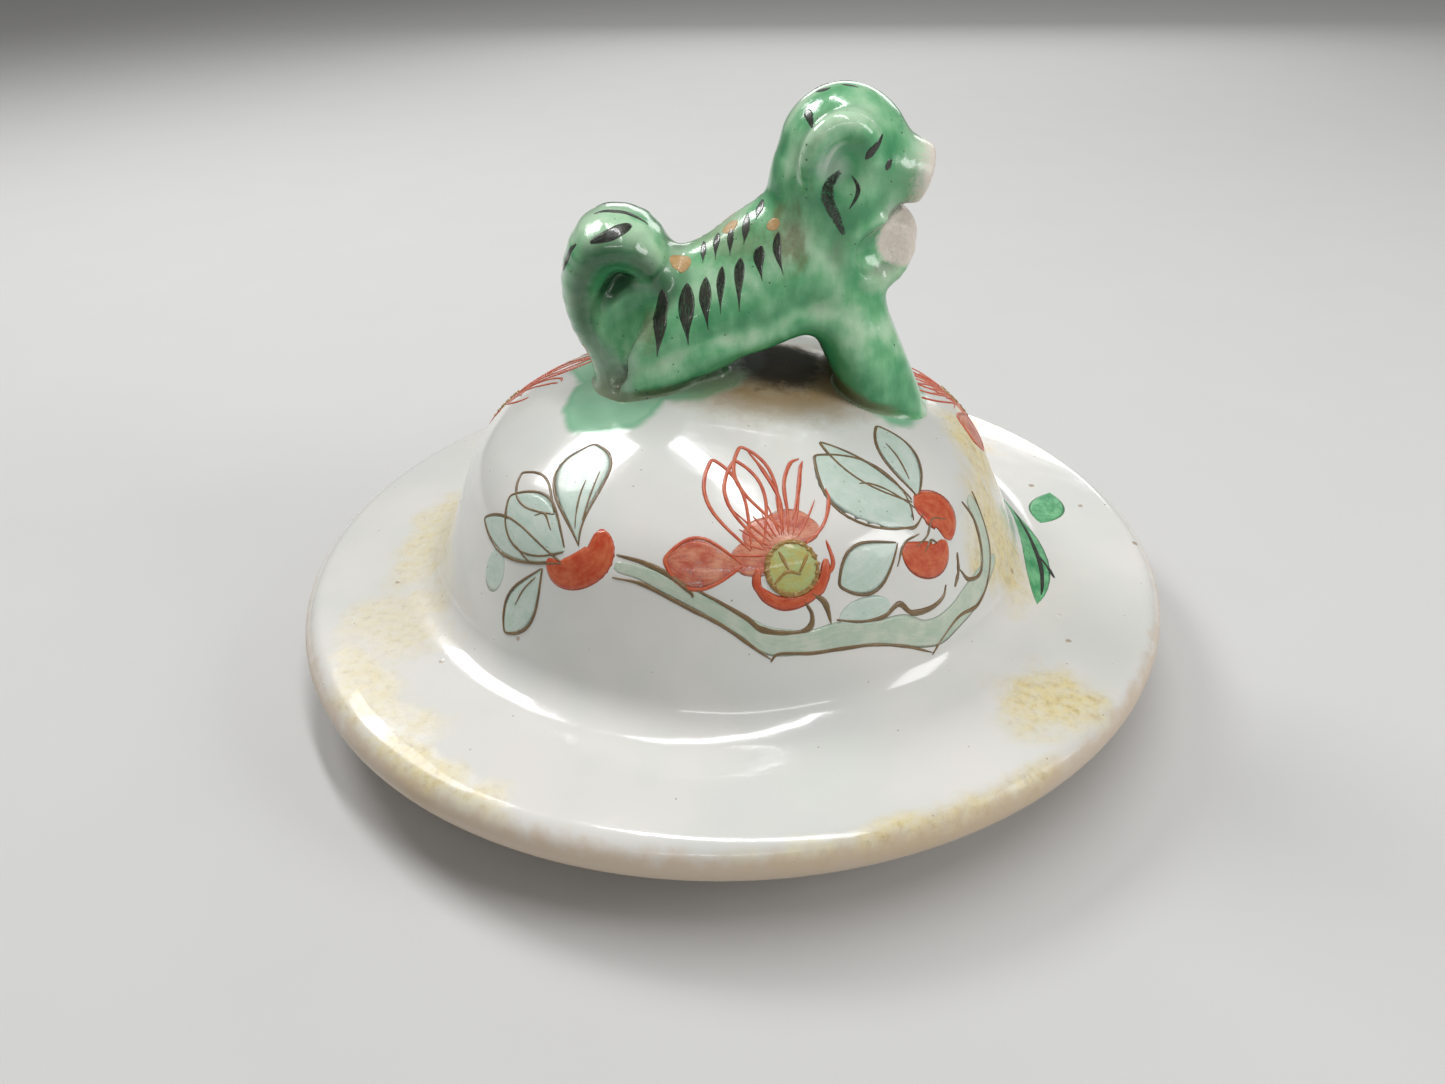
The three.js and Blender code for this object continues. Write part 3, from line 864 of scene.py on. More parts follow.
# ---------- finishes ----------
def lion_enamel(look):
    """Green enamel that is thin and pale on ridges, with painted light from above that makes
    upward faces paler and downward ones deeper; deep and dark where it pools, with painted
    shade in the hollows; worn through to white clay on the muzzle and in the mouth, with kiln
    specks and old brown dirt."""
    green = Finish("green_enamel", Roughness=0.2, IOR=1.5, Coat_Weight=0.55, Coat_Roughness=0.04)
    place = green.place()
    axes = green.axes(place)
    pool, ridge, up = (green.attribute(name) for name in ("pool", "ridge", "up"))
    base = LID_HIGH[2]
    cloud = green.noise(place, 0.2, 2.0, 0.45)
    streak = green.noise(green.place((1.0, 1.0, 0.45)), 0.62, 4.0, 0.5)
    fine = green.noise(place, 2.6, 4.0, 0.6)
    # The up term paints light from above: faces that look up turn paler and faces that look down turn deeper
    # green. The ridge term is enamel running thin on ridges.
    thin = ridge * 0.8 + (up - 0.5) * 1.5 + (cloud - 0.5) * 2.4 + (streak - 0.5) * 0.9
    thin = thin + (fine - 0.5) * 0.15
    colour = green.mix(thin.rise(-0.35, 0.45), look.green_deep, look.green)
    colour = green.mix(thin.rise(0.15, 1.0) * 0.9, colour, look.green_pale)
    inner_ear = near(axes, (11.0, -7.2, base + 21.4), (1.8, 2.2, 1.9)).rise(1.25, 0.3)
    ear_rim = near(axes, (10.1, -6.9, base + 23.6), (1.9, 1.9, 2.4)).rise(1.3, 0.5)
    pale = inner_ear * 0.55 + ear_rim * ridge.rise(0.25, 0.6) * 0.7
    colour = green.mix(pale.low(0.9), colour, (0.60, 0.72, 0.61))
    # Where the skin is hollow it turns nearly black green: partly enamel pooled thick there, partly painted
    # shade in the recess.
    pooled_and_shaded = (pool + (streak - 0.5) * 0.2).rise(0.05, 0.55)
    colour = green.mix(pooled_and_shaded * 0.92, colour, look.green_pool_and_shade)
    low = axes[2].rise(base + 7.0, base + 1.5) * ridge.rise(0.16, 0.5) * (0.4 + streak)
    colour = green.mix(low * 0.7, colour, (0.42, 0.60, 0.44))

    nape = near(axes, (7.2, None, base + 14.6), (2.1, None, 3.2)) + (streak - 0.5) * 2.6
    saddle = near(axes, (0.5, None, base + 14.2), (6.5, None, 2.2)) + (fine - 0.5) * 1.6
    haunch = near(axes, (-7.6, -6.0, base + 6.0), (1.3, 2.6, 2.9)) + (fine - 0.5) * 1.8
    foot = axes[2].rise(base + 1.5, base - 1.5) * pool.rise(0.08, 0.3)
    dirt = nape.rise(1.15, 0.25) * 0.75
    dirt = dirt.high(saddle.rise(1.1, 0.35) * 0.42)
    dirt = dirt.high(haunch.rise(1.15, 0.3) * 0.6)
    dirt = dirt.high(foot * 0.55)
    colour = green.mix(dirt * (0.5 + fine * 0.7), colour, look.dirt)

    snout = near(axes, (22.4, 0, base + 18.8), (4.3, 8.5, 5.2)) + (fine - 0.5) * 0.5
    mouth = near(axes, (18.9, None, base + 13.6), (3.4, None, 2.9)) + (fine - 0.5) * 0.3
    chin = near(axes, (16.5, None, base + 10.2), (3.0, None, 1.5)) + (fine - 0.5) * 0.6
    clay = mouth.rise(1.05, 0.8) * (1 - ridge.rise(0.5, 0.8) * axes[0].rise(18.6, 17.4))
    clay = clay.high(snout.rise(1.15, 0.62)).high(chin.rise(1.1, 0.6) * 0.2)
    bare = green.mix(fine.rise(0.35, 0.8), (0.80, 0.70, 0.61), (0.90, 0.85, 0.78))
    colour = green.mix(clay, colour, bare)
    specks = green.specks(place, 0.85, 0.16, 0.13).high(green.specks(place, 1.9, 0.05, 0.2))
    colour = green.mix(specks * 0.85, colour, (0.03, 0.05, 0.035))
    green.feed("Base Color", colour)
    roughness = 0.13 + fine * 0.12 + dirt * 0.35 + clay * 0.28
    green.feed("Roughness", roughness)
    green.feed("Coat Weight", (0.6 - dirt * 0.5 - clay * 0.45).high(0.0))
    height = cloud * 0.9 + streak * 0.5 + fine * (0.06 + clay * 0.12) - specks * 0.15
    green.bump(height, 0.22)
    return green.material


# Middle and half size of each patch of lacquer, in degrees round and length down, then how
# strong and how ragged it is.
LACQUER = (
    ((-67, 50.5), (10, 5), 0.5, 2.6), ((-54, 56.5), (13, 3.0), 0.6, 3.0),
    ((-92, 46), (17, 3.8), 0.6, 2.4), ((-38, 58.8), (12, 2.4), 0.8, 2.6),
    ((66, 38), (11, 6.5), 0.95, 2.0), ((80, 32), (13, 5.5), 0.95, 2.0),
    ((44, 54.5), (6.5, 4.4), 0.95, 2.2), ((22, 60.5), (15, 2.0), 0.95, 2.2),
    ((150, 53), (22, 6), 0.7, 3.0),
)


def porcelain(look):
    """White glaze over clay: faintly green where thick, with iron specks, pinholes and fine
    scratches, yellowed lacquer left by old repairs, green enamel run down from the lion, brown
    stain and a painted shadow on the crown under the lion's belly, and bare clay where the lid
    sits and where the lip is worn."""
    white = Finish("white_glaze", Roughness=0.14, IOR=1.5, Coat_Weight=0.4, Coat_Roughness=0.03)
    place = white.place()
    axes = white.axes(place)
    x, y = axes[:2]
    down = white.attribute("down")
    past = down - white.attribute("rim")
    degrees = x.math("ARCTAN2", x, y * -1.0) * (180 / math.pi)
    cloud = white.noise(place, 0.075, 3.0, 0.5)
    grain = white.noise(place, 1.1, 5.0, 0.65)
    fine = white.noise(place, 4.2, 3.0, 0.6)
    ragged = white.noise(place, 0.42, 5.0, 0.62)
    torn = white.noise(place, 0.17, 4.0, 0.5)
    colour = white.mix(cloud.rise(0.3, 0.7), look.white, look.white_cool)

    lacquer = 0.0
    for middle, half, share, break_up in LACQUER:
        away = near((degrees, down), middle, half) + (torn - 0.5) * break_up
        lacquer = (away.rise(1.5, 0.5) * share).high(lacquer)
    yellow = white.mix(grain.rise(0.4, 0.85), look.lacquer, (0.50, 0.37, 0.14))
    smear = white.noise(white.place((1.0, 1.0, 0.35)), 0.8, 4.0, 0.7).rise(0.34, 0.66)
    colour = white.mix((lacquer * (0.65 + smear * 0.5)).low(1.0), colour, yellow)

    tail = near(axes, (-11.2, -4.6, None), (6.4, 7.9, None))
    tail = tail.low(near(axes, (-11.4, 4.6, None), (6.6, 7.4, None)))
    flank = near(axes, (-4.5, 0, None), (9.0, 9.4, None))
    paws = near(axes, (17.4, 0, None), (4.9, 9.6, None))
    run = tail.low(flank).low(paws) + (white.noise(place, 0.22, 2.0, 0.5) - 0.5) * 0.38
    crown = down.rise(30.0, 26.0)
    green = run.rise(1.07, 0.90) * crown
    thick = run.rise(0.82, 0.98) * run.rise(1.06, 0.97)
    wash = white.mix(cloud.rise(0.25, 0.75), (0.15, 0.50, 0.26), (0.44, 0.70, 0.50))
    wash = white.mix(thick * 0.6, wash, (0.09, 0.42, 0.20))
    colour = white.mix(green * (0.72 + cloud * 0.4).low(0.96), colour, wash)
    stain = near(axes, (5.5, -3.0, None), (13.0, 10.4, None)) + (ragged - 0.5) * 0.5
    stain = stain.rise(1.15, 0.55) * crown * (1 - green * 0.55)
    # Painted shadow under the lion's belly: the crown there turns nearly black, over a brown stain.
    belly_shadow_and_stain = near(axes, (6.2, -1.2, None), (5.4, 6.6, None)) + (grain - 0.5) * 0.5
    belly_shadow_and_stain = belly_shadow_and_stain.rise(1.12, 0.62) * crown
    crust = (stain * 0.5 + white.noise(place, 0.62, 4.0, 0.6)).rise(1.12, 1.2)
    colour = white.mix(stain * (0.7 + ragged * 0.5).low(1.0), colour, look.dirt_pale)
    colour = white.mix(belly_shadow_and_stain * 0.92, colour, (0.05, 0.032, 0.016))
    colour = white.mix(crust * 0.8, colour, (0.20, 0.12, 0.06))

    specks = white.specks(place, 0.36, 0.1, 0.06).high(white.specks(place, 1.3, 0.04, 0.14))
    colour = white.mix(specks * 0.75, colour, (0.22, 0.13, 0.07))
    pits = white.specks(place, 0.23, 0.2, 0.11)
    colour = white.mix(pits * 0.8, colour, (0.40, 0.27, 0.16))
    worn = (abs(past - 0.6) + (ragged - 0.5) * 3.4).rise(3.3, 1.1)
    under = past.rise(2.4, 3.0) * past.rise(17.0, 15.6)
    clay = white.mix(grain.rise(0.3, 0.7), look.clay, (0.56, 0.43, 0.33))
    colour = white.mix(worn * 0.85, colour, (0.64, 0.50, 0.36))
    colour = white.mix(under, colour, clay)
    white.feed("Base Color", colour)

    matt = (under * 0.55 + worn * 0.25 + lacquer * 0.32 + stain * 0.28 + belly_shadow_and_stain * 0.4).low(0.65)
    white.feed("Roughness", 0.1 + fine * 0.08 + matt)
    white.feed("Coat Weight", (0.45 - matt).high(0.0))
    height = cloud * 1.2 + ragged * 0.1 + grain * (0.03 + lacquer * 0.09 + under * 0.2)
    height = height + fine * (0.02 + under * 0.1) - pits * 0.5 + green * 0.25
    white.bump(height, 0.16)
    return white.material


def bare_clay(name, look):
    """Unglazed clay with a fine tooth, turning marks and stains."""
    clay = Finish(name, Roughness=0.8, IOR=1.45)
    place = clay.place()
    cloud = clay.noise(place, 0.25, 4.0, 0.6)
    grain = clay.noise(place, 3.2, 4.0, 0.7)
    rings = clay.noise(clay.place((0.03, 0.03, 1.6)), 1.0, 3.0, 0.6)
    colour = clay.mix(cloud.rise(0.3, 0.7), look.clay, (0.52, 0.41, 0.32))
    colour = clay.mix(grain.rise(0.55, 0.8) * 0.4, colour, (0.33, 0.23, 0.16))
    clay.feed("Base Color", colour)
    clay.feed("Roughness", 0.68 + grain * 0.25)
    clay.bump(grain * 0.5 + rings * 0.8, 0.09)
    return clay.material


def enamel(name, first, second, gloss=0.4, hairs=3.0, cloud=0.6, streaks=1.0, edge=0.2, dots=0.0,
           solid=0.9, dry=0.4, thin=0.25, film=0.35, rim=0.1, relief=0.05):
    """Thin translucent enamel on the glaze: two tints in clouds, brushed along its own length,
    thicker and darker at its edge, and wearing from solid to film where the brush was dry."""
    coat = Finish(name, Roughness=0.3, IOR=1.5, Coat_Weight=gloss, Coat_Roughness=0.06)
    spread = coat.node("TexCoord", output="UV")
    along, across, _ = coat.axes(spread)
    strands = coat.node("CombineXYZ", None, {0: along * 0.35, 1: across * hairs})
    place = coat.place()
    clouds = coat.noise(place, cloud, 4.0, 0.6)
    brushed = coat.noise(strands, 1.6, 3.0, 0.6)
    grain = coat.noise(place, 3.4, 4.0, 0.65)
    border = abs(across).rise(0.72, 0.98)
    tint = (clouds - 0.5) * 1.6 + (brushed - 0.5) * streaks + 0.5
    colour = coat.mix(tint.rise(0.1, 0.9), first, second)
    colour = coat.mix(border * edge, colour, [c * 0.55 for c in first])
    if dots:
        colour = coat.mix(coat.specks(place, 1.5, dots, 0.16) * 0.7, colour, (0.10, 0.07, 0.04))
    coat.feed("Base Color", colour)
    worn = brushed * dry + grain * 0.5 + (1 - border) * 0.12
    alpha = worn.rise(thin, thin + 0.25) * (solid - film) + film + border * rim
    coat.feed("Alpha", alpha.low(1.0))
    coat.feed("Roughness", 0.18 + grain * 0.25)
    coat.bump(grain * 0.3 + brushed * 0.4, relief)
    return coat.material


def plain_floor(colour):
    """Pale matt paper with a faint tooth."""
    floor = Finish("floor", Roughness=0.85)
    grain = floor.noise(floor.place(), 0.05, 3.0, 0.5)
    floor.feed("Base Color", floor.mix(grain, [c * 0.96 for c in colour], colour))
    return floor.material


# ---------- sizes and colours in the sidebar ----------
def metres(name, description, default):
    return FloatProperty(name=name, description=description, default=default, min=0.0001,
                         max=0.2, precision=4, unit="LENGTH", subtype="DISTANCE")


def tint(name, description, default):
    return FloatVectorProperty(name=name, description=description, default=default, size=3,
                               min=0.0, max=1.0, subtype="COLOR")


def watts(name, description, default):
    return FloatProperty(name=name, description=description, default=default, min=0, unit="POWER")


class JarLidSizes(bpy.types.PropertyGroup):
    lip_thickness: metres("Lip Thickness", "Height of the rounded lip of the flange", 0.0046)
    side_lean: FloatProperty(name="Side Lean", description="How far the side of the dome leans in",
                             default=math.radians(23.3), min=0.1, max=0.8, subtype="ANGLE")
    crown_radius: metres("Crown Radius", "Radius of the top of the dome", 0.0517)
    shoulder_radius: metres("Shoulder Radius", "Radius of the dome's shoulder", 0.010)
    foot_radius: metres("Foot Radius", "Radius of the dome where its side meets the flange", 0.0348)
    wall: metres("Wall", "Thickness of the dome", 0.0038)
    collar_wall: metres("Collar Wall", "Thickness of the locating ring", 0.0032)
    turns: IntProperty(name="Turns", description="Steps round the lid", default=288, min=48, max=400)
    skin_step: metres("Skin Step", "Spacing of the grid that the lion's skin is found on", 0.00036)
    skin_shell: metres("Skin Thickness", "Thickness of each piece of the lion's skin", 0.0005)
    line_width: metres("Line Width", "Width of the drawn lines", 0.00036)


class JarLidLook(bpy.types.PropertyGroup):
    white: tint("White", "Thin white glaze", (0.83, 0.81, 0.77))
    white_cool: tint("Thick White", "White glaze where it is thick", (0.76, 0.77, 0.735))
    green: tint("Green", "Green enamel", (0.20, 0.56, 0.27))
    green_deep: tint("Deep Green", "Thick green enamel", (0.05, 0.32, 0.125))
    # Also paints the light on the lion's faces that look up.
    green_pale: tint("Pale Green", "Thin green enamel", (0.62, 0.88, 0.61))
    # Nearly black green: pooled enamel together with painted shade in the hollows.
    green_pool_and_shade: tint("Pooled Green and Shade", "Green enamel in the hollows", (0.015, 0.085, 0.03))
    dirt: tint("Dirt", "Old dirt on the lion", (0.22, 0.17, 0.07))
    dirt_pale: tint("Stain", "Stain on the crown", (0.37, 0.255, 0.125))
    lacquer: tint("Lacquer", "Yellowed lacquer", (0.80, 0.69, 0.38))
    clay: tint("Clay", "Unglazed clay", (0.68, 0.58, 0.48))
    aqua: tint("Aqua", "Aqua wash", (0.60, 0.76, 0.65))
    red: tint("Red", "Iron red", (0.56, 0.06, 0.018))
    yellow: tint("Yellow", "Yellow-green enamel of the disc", (0.52, 0.45, 0.11))
    ochre: tint("Ochre", "Ochre enamel", (0.66, 0.38, 0.14))
    line: tint("Line", "Brown line", (0.165, 0.10, 0.042))
    black: tint("Black", "Black brush strokes", (0.012, 0.014, 0.011))


class JarLidLight(bpy.types.PropertyGroup):
    key: watts("Key", "Power of the high rear light", 1.0)
    fill: watts("Fill", "Power of the low side lights", 0.3)
    strip: watts("Strip", "Power of the two long lights", 0.8)
    sky: FloatProperty(name="Sky", description="Strength of the even light", default=0.18, min=0)
    floor: tint("Floor", "Colour of the floor", (0.68, 0.68, 0.67))


def sizes_of(context):
    return context.scene.jar_lid_sizes


def look_of(context):
    return context.scene.jar_lid_look


class JARLID_OT_lid(bpy.types.Operator):
    """Make the lid: the glazed shell and the bare ring that locates it in the jar's mouth"""
    bl_idname = "jarlid.lid"
    bl_label = "Lid"

    def execute(self, context):
        """The shell is an outline turned round Z: crown arc, shoulder arc, straight leaning
        side, hollow foot, nearly flat flange and round lip, then the same inside less the
        wall. The ring is a rounded rectangle turned round Z."""
        sizes, look = sizes_of(context), look_of(context)
        lid = Lid(sizes)
        outline = np.vstack([lid.outer, lid.inside()])
        points, faces = turned_mesh(outline, sizes.turns)
        down = lengths(outline)
        rows = np.concatenate([np.repeat(down[1:-1], sizes.turns), down[[0, -1]]])
        rim = np.full(len(points), lid.reach[-1])
        shell = mesh_object("lid_shell_glazed", points, faces, porcelain(look),
                            attributes={"down": rows, "rim": rim})
        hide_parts("lid_shell")
        points, faces = ring_mesh(lid.collar(), sizes.turns)
        ring = mesh_object("locating_ring", points, faces, bare_clay("biscuit", look))
        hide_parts("locating_collar")
        return {"FINISHED"}


class JARLID_OT_lion(bpy.types.Operator):
    """Make the lion, one closed piece of glazed skin for each modelled part"""
    bl_idname = "jarlid.lion"
    bl_label = "Lion"

    def execute(self, context):
        """The skin is where a blend of rounded limbs comes to zero. It is found on a grid,
        moved exactly onto the surface, and divided among the modelled parts."""
        sizes = sizes_of(context)
        lion = Lion(Lid(sizes))
        points, quads, normals = lion_skin(lion, sizes.skin_step / MM)
        shading = lion_shading(lion, points, normals)
        owner = lion_labels(lion, points[quads].mean(1))
        material = lion_enamel(look_of(context))
        for name in np.unique(owner):
            used, shell, shaded, faces = skin_piece(points, normals, quads[owner == name],
                                                    sizes.skin_shell / MM)
            values = {key: np.tile(value[used], 2) for key, value in shading.items()}
            piece = mesh_object(str(name) + "_glazed", shell, [faces], material,
                                normals=shaded, attributes=values)
            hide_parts(str(name))
        return {"FINISHED"}


class JARLID_OT_strokes(bpy.types.Operator):
    """Paint the lion: eyes, brows, whisker strokes, coat stripes and ochre spots"""
    bl_idname = "jarlid.strokes"
    bl_label = "Lion's Markings"

    FLANK = (
        ([[-6.1, 4.7, 9.6], [-6.3, 5.5, 7.8], [-6.5, 7.0, 5.8], [-6.9, 7.4, 3.4]], 1.75),
        ([[-3.5, 4.5, 10.1], [-3.6, 5.8, 8.7], [-3.7, 7.1, 6.9], [-3.6, 7.6, 4.7]], 1.75),
        ([[-1.6, 4.7, 10.8], [-1.7, 5.8, 9.6], [-1.7, 6.8, 8.2], [-1.5, 7.5, 6.2]], 1.35),
        ([[0.1, 4.6, 11.8], [-0.1, 5.8, 10.2], [-0.2, 7.3, 7.8]], 0.95),
        ([[2.0, 4.9, 12.7], [1.8, 5.8, 11.2], [1.7, 7.5, 8.0]], 1.15),
        ([[4.1, 5.0, 13.9], [3.8, 5.6, 12.8], [4.1, 6.6, 10.8]], 1.2),
        ([[5.8, 4.9, 15.2], [5.6, 5.8, 13.6], [6.2, 6.8, 11.4]], 0.9),
        ([[-1.7, 1.0, 13.3], [-1.8, 2.6, 12.7], [-1.9, 3.6, 11.9]], 0.7),
        ([[-0.2, 1.3, 14.2], [-0.4, 2.4, 13.6], [-0.6, 3.9, 12.3]], 0.9),
        ([[1.2, 1.9, 14.9], [1.0, 3.3, 14.0], [0.9, 4.4, 12.8]], 0.8),
        ([[2.9, 1.5, 16.1], [2.6, 3.4, 15.0], [2.3, 4.4, 13.9]], 0.9),
        ([[4.4, 0.9, 17.4], [4.0, 2.2, 16.7], [3.6, 3.1, 16.0]], 1.0),
    )
    HEAD = (
        ([[13.9, 6.7, 22.3], [14.7, 6.7, 23.3], [15.7, 5.6, 24.4]], 0.75, 0.1, 0.35),
        ([[16.0, 5.9, 21.1], [16.2, 5.8, 21.5], [16.5, 5.6, 22.0]], 0.75, 0.3, 0.5),
        ([[12.7, 6.5, 20.8], [13.25, 6.9, 19.9], [13.2, 7.0, 19.0], [12.5, 7.0, 17.8]], 0.45, 0.1, 0.5),
        ([[8.5, 2.6, 26.1], [8.9, 3.4, 25.6], [9.3, 4.4, 24.6]], 0.9, 0.1, 0.3),
        ([[9.7, 0.6, 27.4], [10.4, 1.1, 27.6], [11.0, 1.2, 27.8]], 0.8, 0.2, 0.4),
        ([[12.1, 0.8, 27.9], [12.8, 1.2, 27.9], [13.6, 1.5, 27.6]], 0.5, 0.2, 0.4),
    )
    TAIL = (
        ([[-12.9, 5.3, 14.8], [-10.9, 5.2, 15.5], [-8.8, 3.6, 16.1]], 1.5, 0.25, 0.65),
        ([[-12.8, 1.4, 16.7], [-10.9, 1.6, 16.9], [-8.7, 1.8, 16.3], [-7.6, 2.0, 15.2]], 0.8, 0.2, 0.4),
        ([[-16.5, 2.6, 11.2], [-15.6, 3.2, 13.0], [-14.4, 3.9, 14.3]], 1.1, 0.15, 0.35),
    )
    CHEEK = ([[11.6, 6.3, 21.2], [10.6, 6.5, 20.1], [10.4, 6.7, 18.8], [11.1, 6.8, 17.3],
              [12.1, 6.5, 15.2]], 1.35)
    SPOTS = (((-4.3, 3.0, 11.7), 2.3), ((1.0, 1.8, 15.0), 1.7), ((5.3, 4.4, 15.8), 1.3))

    def execute(self, context):
        """Each stroke is a closed ribbon whose rings are moved onto the lion's skin, with a
        width that swells and then runs out to a point."""
        look = look_of(context)
        brush = LionBrush(Lion(Lid(sizes_of(context))))
        black, dry, ochre = Coat(7), Coat(7), Coat(13)
        for side in (-1, 1):
            mirror = np.array([1, side, 1])
            for path, width in self.FLANK:
                brush.lay(black, np.array(path) * mirror, width, 0.06, 0.42, power=0.75, trail=1.9)
            for path, width, low, peak in self.HEAD + self.TAIL:
                brush.lay(black, np.array(path) * mirror, width, low, peak)
            brush.lay(dry, np.array(self.CHEEK[0]) * mirror, self.CHEEK[1], 0.3, 0.5)
            for centre, width in self.SPOTS:
                half = np.array([0.5 * width, 0, 0.25 * width])
                middle = np.array(centre) * mirror
                brush.lay(ochre, [middle - half, middle, middle + half], width, 0.05, 0.5,
                          power=0.55)
        strokes = enamel("dark_line", look.black, (0.05, 0.05, 0.035), hairs=5.0, streaks=0.6,
                         dry=1.3, thin=0.82, film=0.45, solid=0.99, gloss=0.7, edge=0.0)
        black.piece("lion_strokes", "dark_line", strokes)
        speckled = enamel("dark_line_dry", look.black, (0.04, 0.045, 0.03), cloud=1.6, dry=0.1,
                          thin=0.26, film=0.0, solid=0.98, gloss=0.6, edge=0.0, rim=0.0)
        dry.piece("cheek_strokes", "dark_line", speckled)
        spots = enamel("ochre_spots", look.ochre, (0.75, 0.52, 0.28), cloud=1.5, film=0.5,
                       thin=0.2, gloss=0.1, relief=0.12)
        ochre.piece("lion_spots", "ochre_enamel", spots)
        return {"FINISHED"}


class JARLID_OT_blossoms(bpy.types.Operator):
    """Paint the blossoms on the dome: two aqua ones and one red one to each spray"""
    bl_idname = "jarlid.blossoms"
    bl_label = "Blossoms"

    SPRAYS = (("front", 0.0), ("back", 180.0))
    SIDES = (92.0, -121.0)
    AQUA = (
        ((-31.0, 30.2), (-45.8, 19.4), 6.6, 0.70, True),
        ((-40.0, 28.0), (-57.5, 26.2), 3.6, 0.60, False),
        ((-34.0, 31.0), (-55.0, 28.8), 6.2, 0.55, True),
        ((-33.6, 32.2), (-60.0, 32.6), 3.8, 0.62, True),
        ((-38.4, 33.4), (-44.5, 41.6), 4.2, 0.62, True),
        ((39.8, 30.4), (27.2, 19.6), 7.6, 0.52, True),
        ((43.0, 28.4), (32.0, 18.2), 2.7, 0.55, True),
        ((45.0, 28.2), (55.4, 19.6), 4.4, 0.58, True),
        ((34.6, 31.2), (20.4, 33.4), 5.0, 0.60, True),
    )
    PUDDLES = (((-51.5, 36.4), 1.7, 2.4), ((24.5, 36.6), 2.8, 1.5), ((37.0, 27.6), 2.6, 2.6))
    RIBS = (
        [(-33.5, 28.6), (-37.0, 25.2), (-38.4, 23.4)],
        [(-32.6, 27.6), (-34.6, 24.6), (-36.4, 22.0)],
        [(-39.0, 29.6), (-42.6, 28.4), (-45.0, 29.0)],
        [(-37.4, 32.6), (-42.0, 33.4), (-47.0, 32.6)],
        [(-39.6, 34.6), (-42.0, 36.4), (-43.4, 38.4)],
        [(46.6, 26.2), (49.6, 23.6), (51.0, 21.6)],
        [(40.4, 31.4), (36.0, 31.6), (33.0, 33.4)],
        [(44.0, 29.8), (40.0, 30.6), (36.6, 30.0)],
        [(42.8, 29.2), (39.0, 26.0), (36.0, 24.6), (33.6, 24.2)],
        [(38.6, 32.4), (42.2, 32.0), (45.4, 30.8), (48.8, 31.6)],
        [(40.2, 33.4), (42.8, 32.6), (44.4, 33.2)],
    )
    CALYX = (
        ([(-37.6, 32.4), (-34.0, 33.2), (-29.8, 32.4), (-26.2, 30.4), (-27.4, 27.9)], 3.7, 0.62),
        ([(42.6, 28.8), (45.6, 29.4), (48.8, 31.2), (48.4, 33.8)], 4.2, 0.55),
        ([(35.4, 31.8), (38.6, 33.6), (43.0, 34.6), (47.0, 33.6)], 3.8, 0.5),
    )
    RED = (
        ((2.6, 30.2), (-12.6, 29.8), 5.0, 0.60, 1.0),
        ((4.4, 29.0), (-4.6, 18.4), 3.7, 0.62, 0.0),
        ((6.8, 28.6), (2.4, 18.6), 3.9, 0.62, 0.0),
        ((11.6, 27.4), (4.8, 16.8), 3.8, 0.66, 0.0),
    )
    RED_LINES = (
        [(13.2, 25.6), (14.8, 22.0), (18.6, 19.8), (22.0, 19.4)],
        [(14.0, 26.2), (17.6, 23.2), (20.6, 20.8), (22.6, 19.8)],
        [(14.8, 29.0), (20.0, 27.4), (23.8, 25.0), (24.6, 23.6)],
        [(10.8, 27.6), (12.4, 23.8), (10.2, 20.0), (6.8, 17.2)],
        [(17.6, 32.4), (19.8, 31.2), (19.6, 28.9)],
    )
    CORE = (((5.0, 29.6), 2.4, 1.8), ((8.2, 27.4), 2.5, 1.9), ((12.6, 26.6), 2.4, 1.7),
            ((15.6, 27.4), 1.6, 1.4))
    HEART = (11.2, 29.6)
    RAYS = (-86, -70, -56, -44, -33, -22, -10, 2, 14, 27, 42)

    def execute(self, context):
        """A petal is a thin closed wash with a drawn line round it: half its width is a sine
        of the way along, bent so that the widest place lies nearer the tip."""
        sizes, look = sizes_of(context), look_of(context)
        lid = Lid(sizes)
        width = sizes.line_width / MM
        aqua = enamel("aqua_enamel", look.aqua, (0.74, 0.84, 0.76), cloud=0.6, solid=0.86,
                      film=0.36, edge=0.18, relief=0.07, dots=0.2)
        brown = enamel("dark_line_brown", look.line, (0.26, 0.17, 0.075), hairs=2.0, streaks=0.8,
                       solid=0.9, film=0.55, dry=0.5, edge=0.0, gloss=0.3)
        red_wash = enamel("iron_red_wash", look.red, (0.82, 0.34, 0.20), cloud=0.55, solid=0.84,
                          film=0.12, dry=0.6, thin=0.42, edge=0.1, gloss=0.2)
        red_solid = enamel("iron_red", look.red, (0.70, 0.17, 0.07), cloud=0.8, solid=0.95,
                           film=0.7, dry=0.3, edge=0.15, gloss=0.25)
        disc = enamel("yellow_enamel", look.yellow, (0.46, 0.55, 0.24), cloud=0.9, solid=1.0,
                      film=0.9, edge=0.1, gloss=0.4, relief=0.14)
        ochre = enamel("ochre_enamel", (0.46, 0.27, 0.06), (0.30, 0.17, 0.04), cloud=1.2, solid=0.95,
                       film=0.75, edge=0.0, relief=0.1)
        for label, turn in self.SPRAYS:
            brush = LidBrush(lid, turn, seed=int(turn) + 3)
            washes, lines = Coat(11), Coat(5)
            for base, tip, across, fullest, washed in self.AQUA:
                brush.petal(washes if washed else None, lines, base, tip, across, fullest,
                            line_width=width)
            for centre, half_width, half_height in self.PUDDLES:
                brush.spot(washes, centre, half_width, half_height, 0.03)
            for path in self.RIBS:
                brush.line(lines, path, 0.85 * width)
            calyx = Coat(11)
            for path, across, peak in self.CALYX:
                brush.lay(calyx, through(path, 24), 0.5 * across * swell(24, 0.12, peak, 0.6), 0.06)
            washes.piece("aqua_petals_" + label, "aqua_enamel", aqua)
            lines.piece("petal_lines_" + label, "dark_line", brown)
            calyx.piece("red_calyxes_" + label, "iron_red", red_solid)
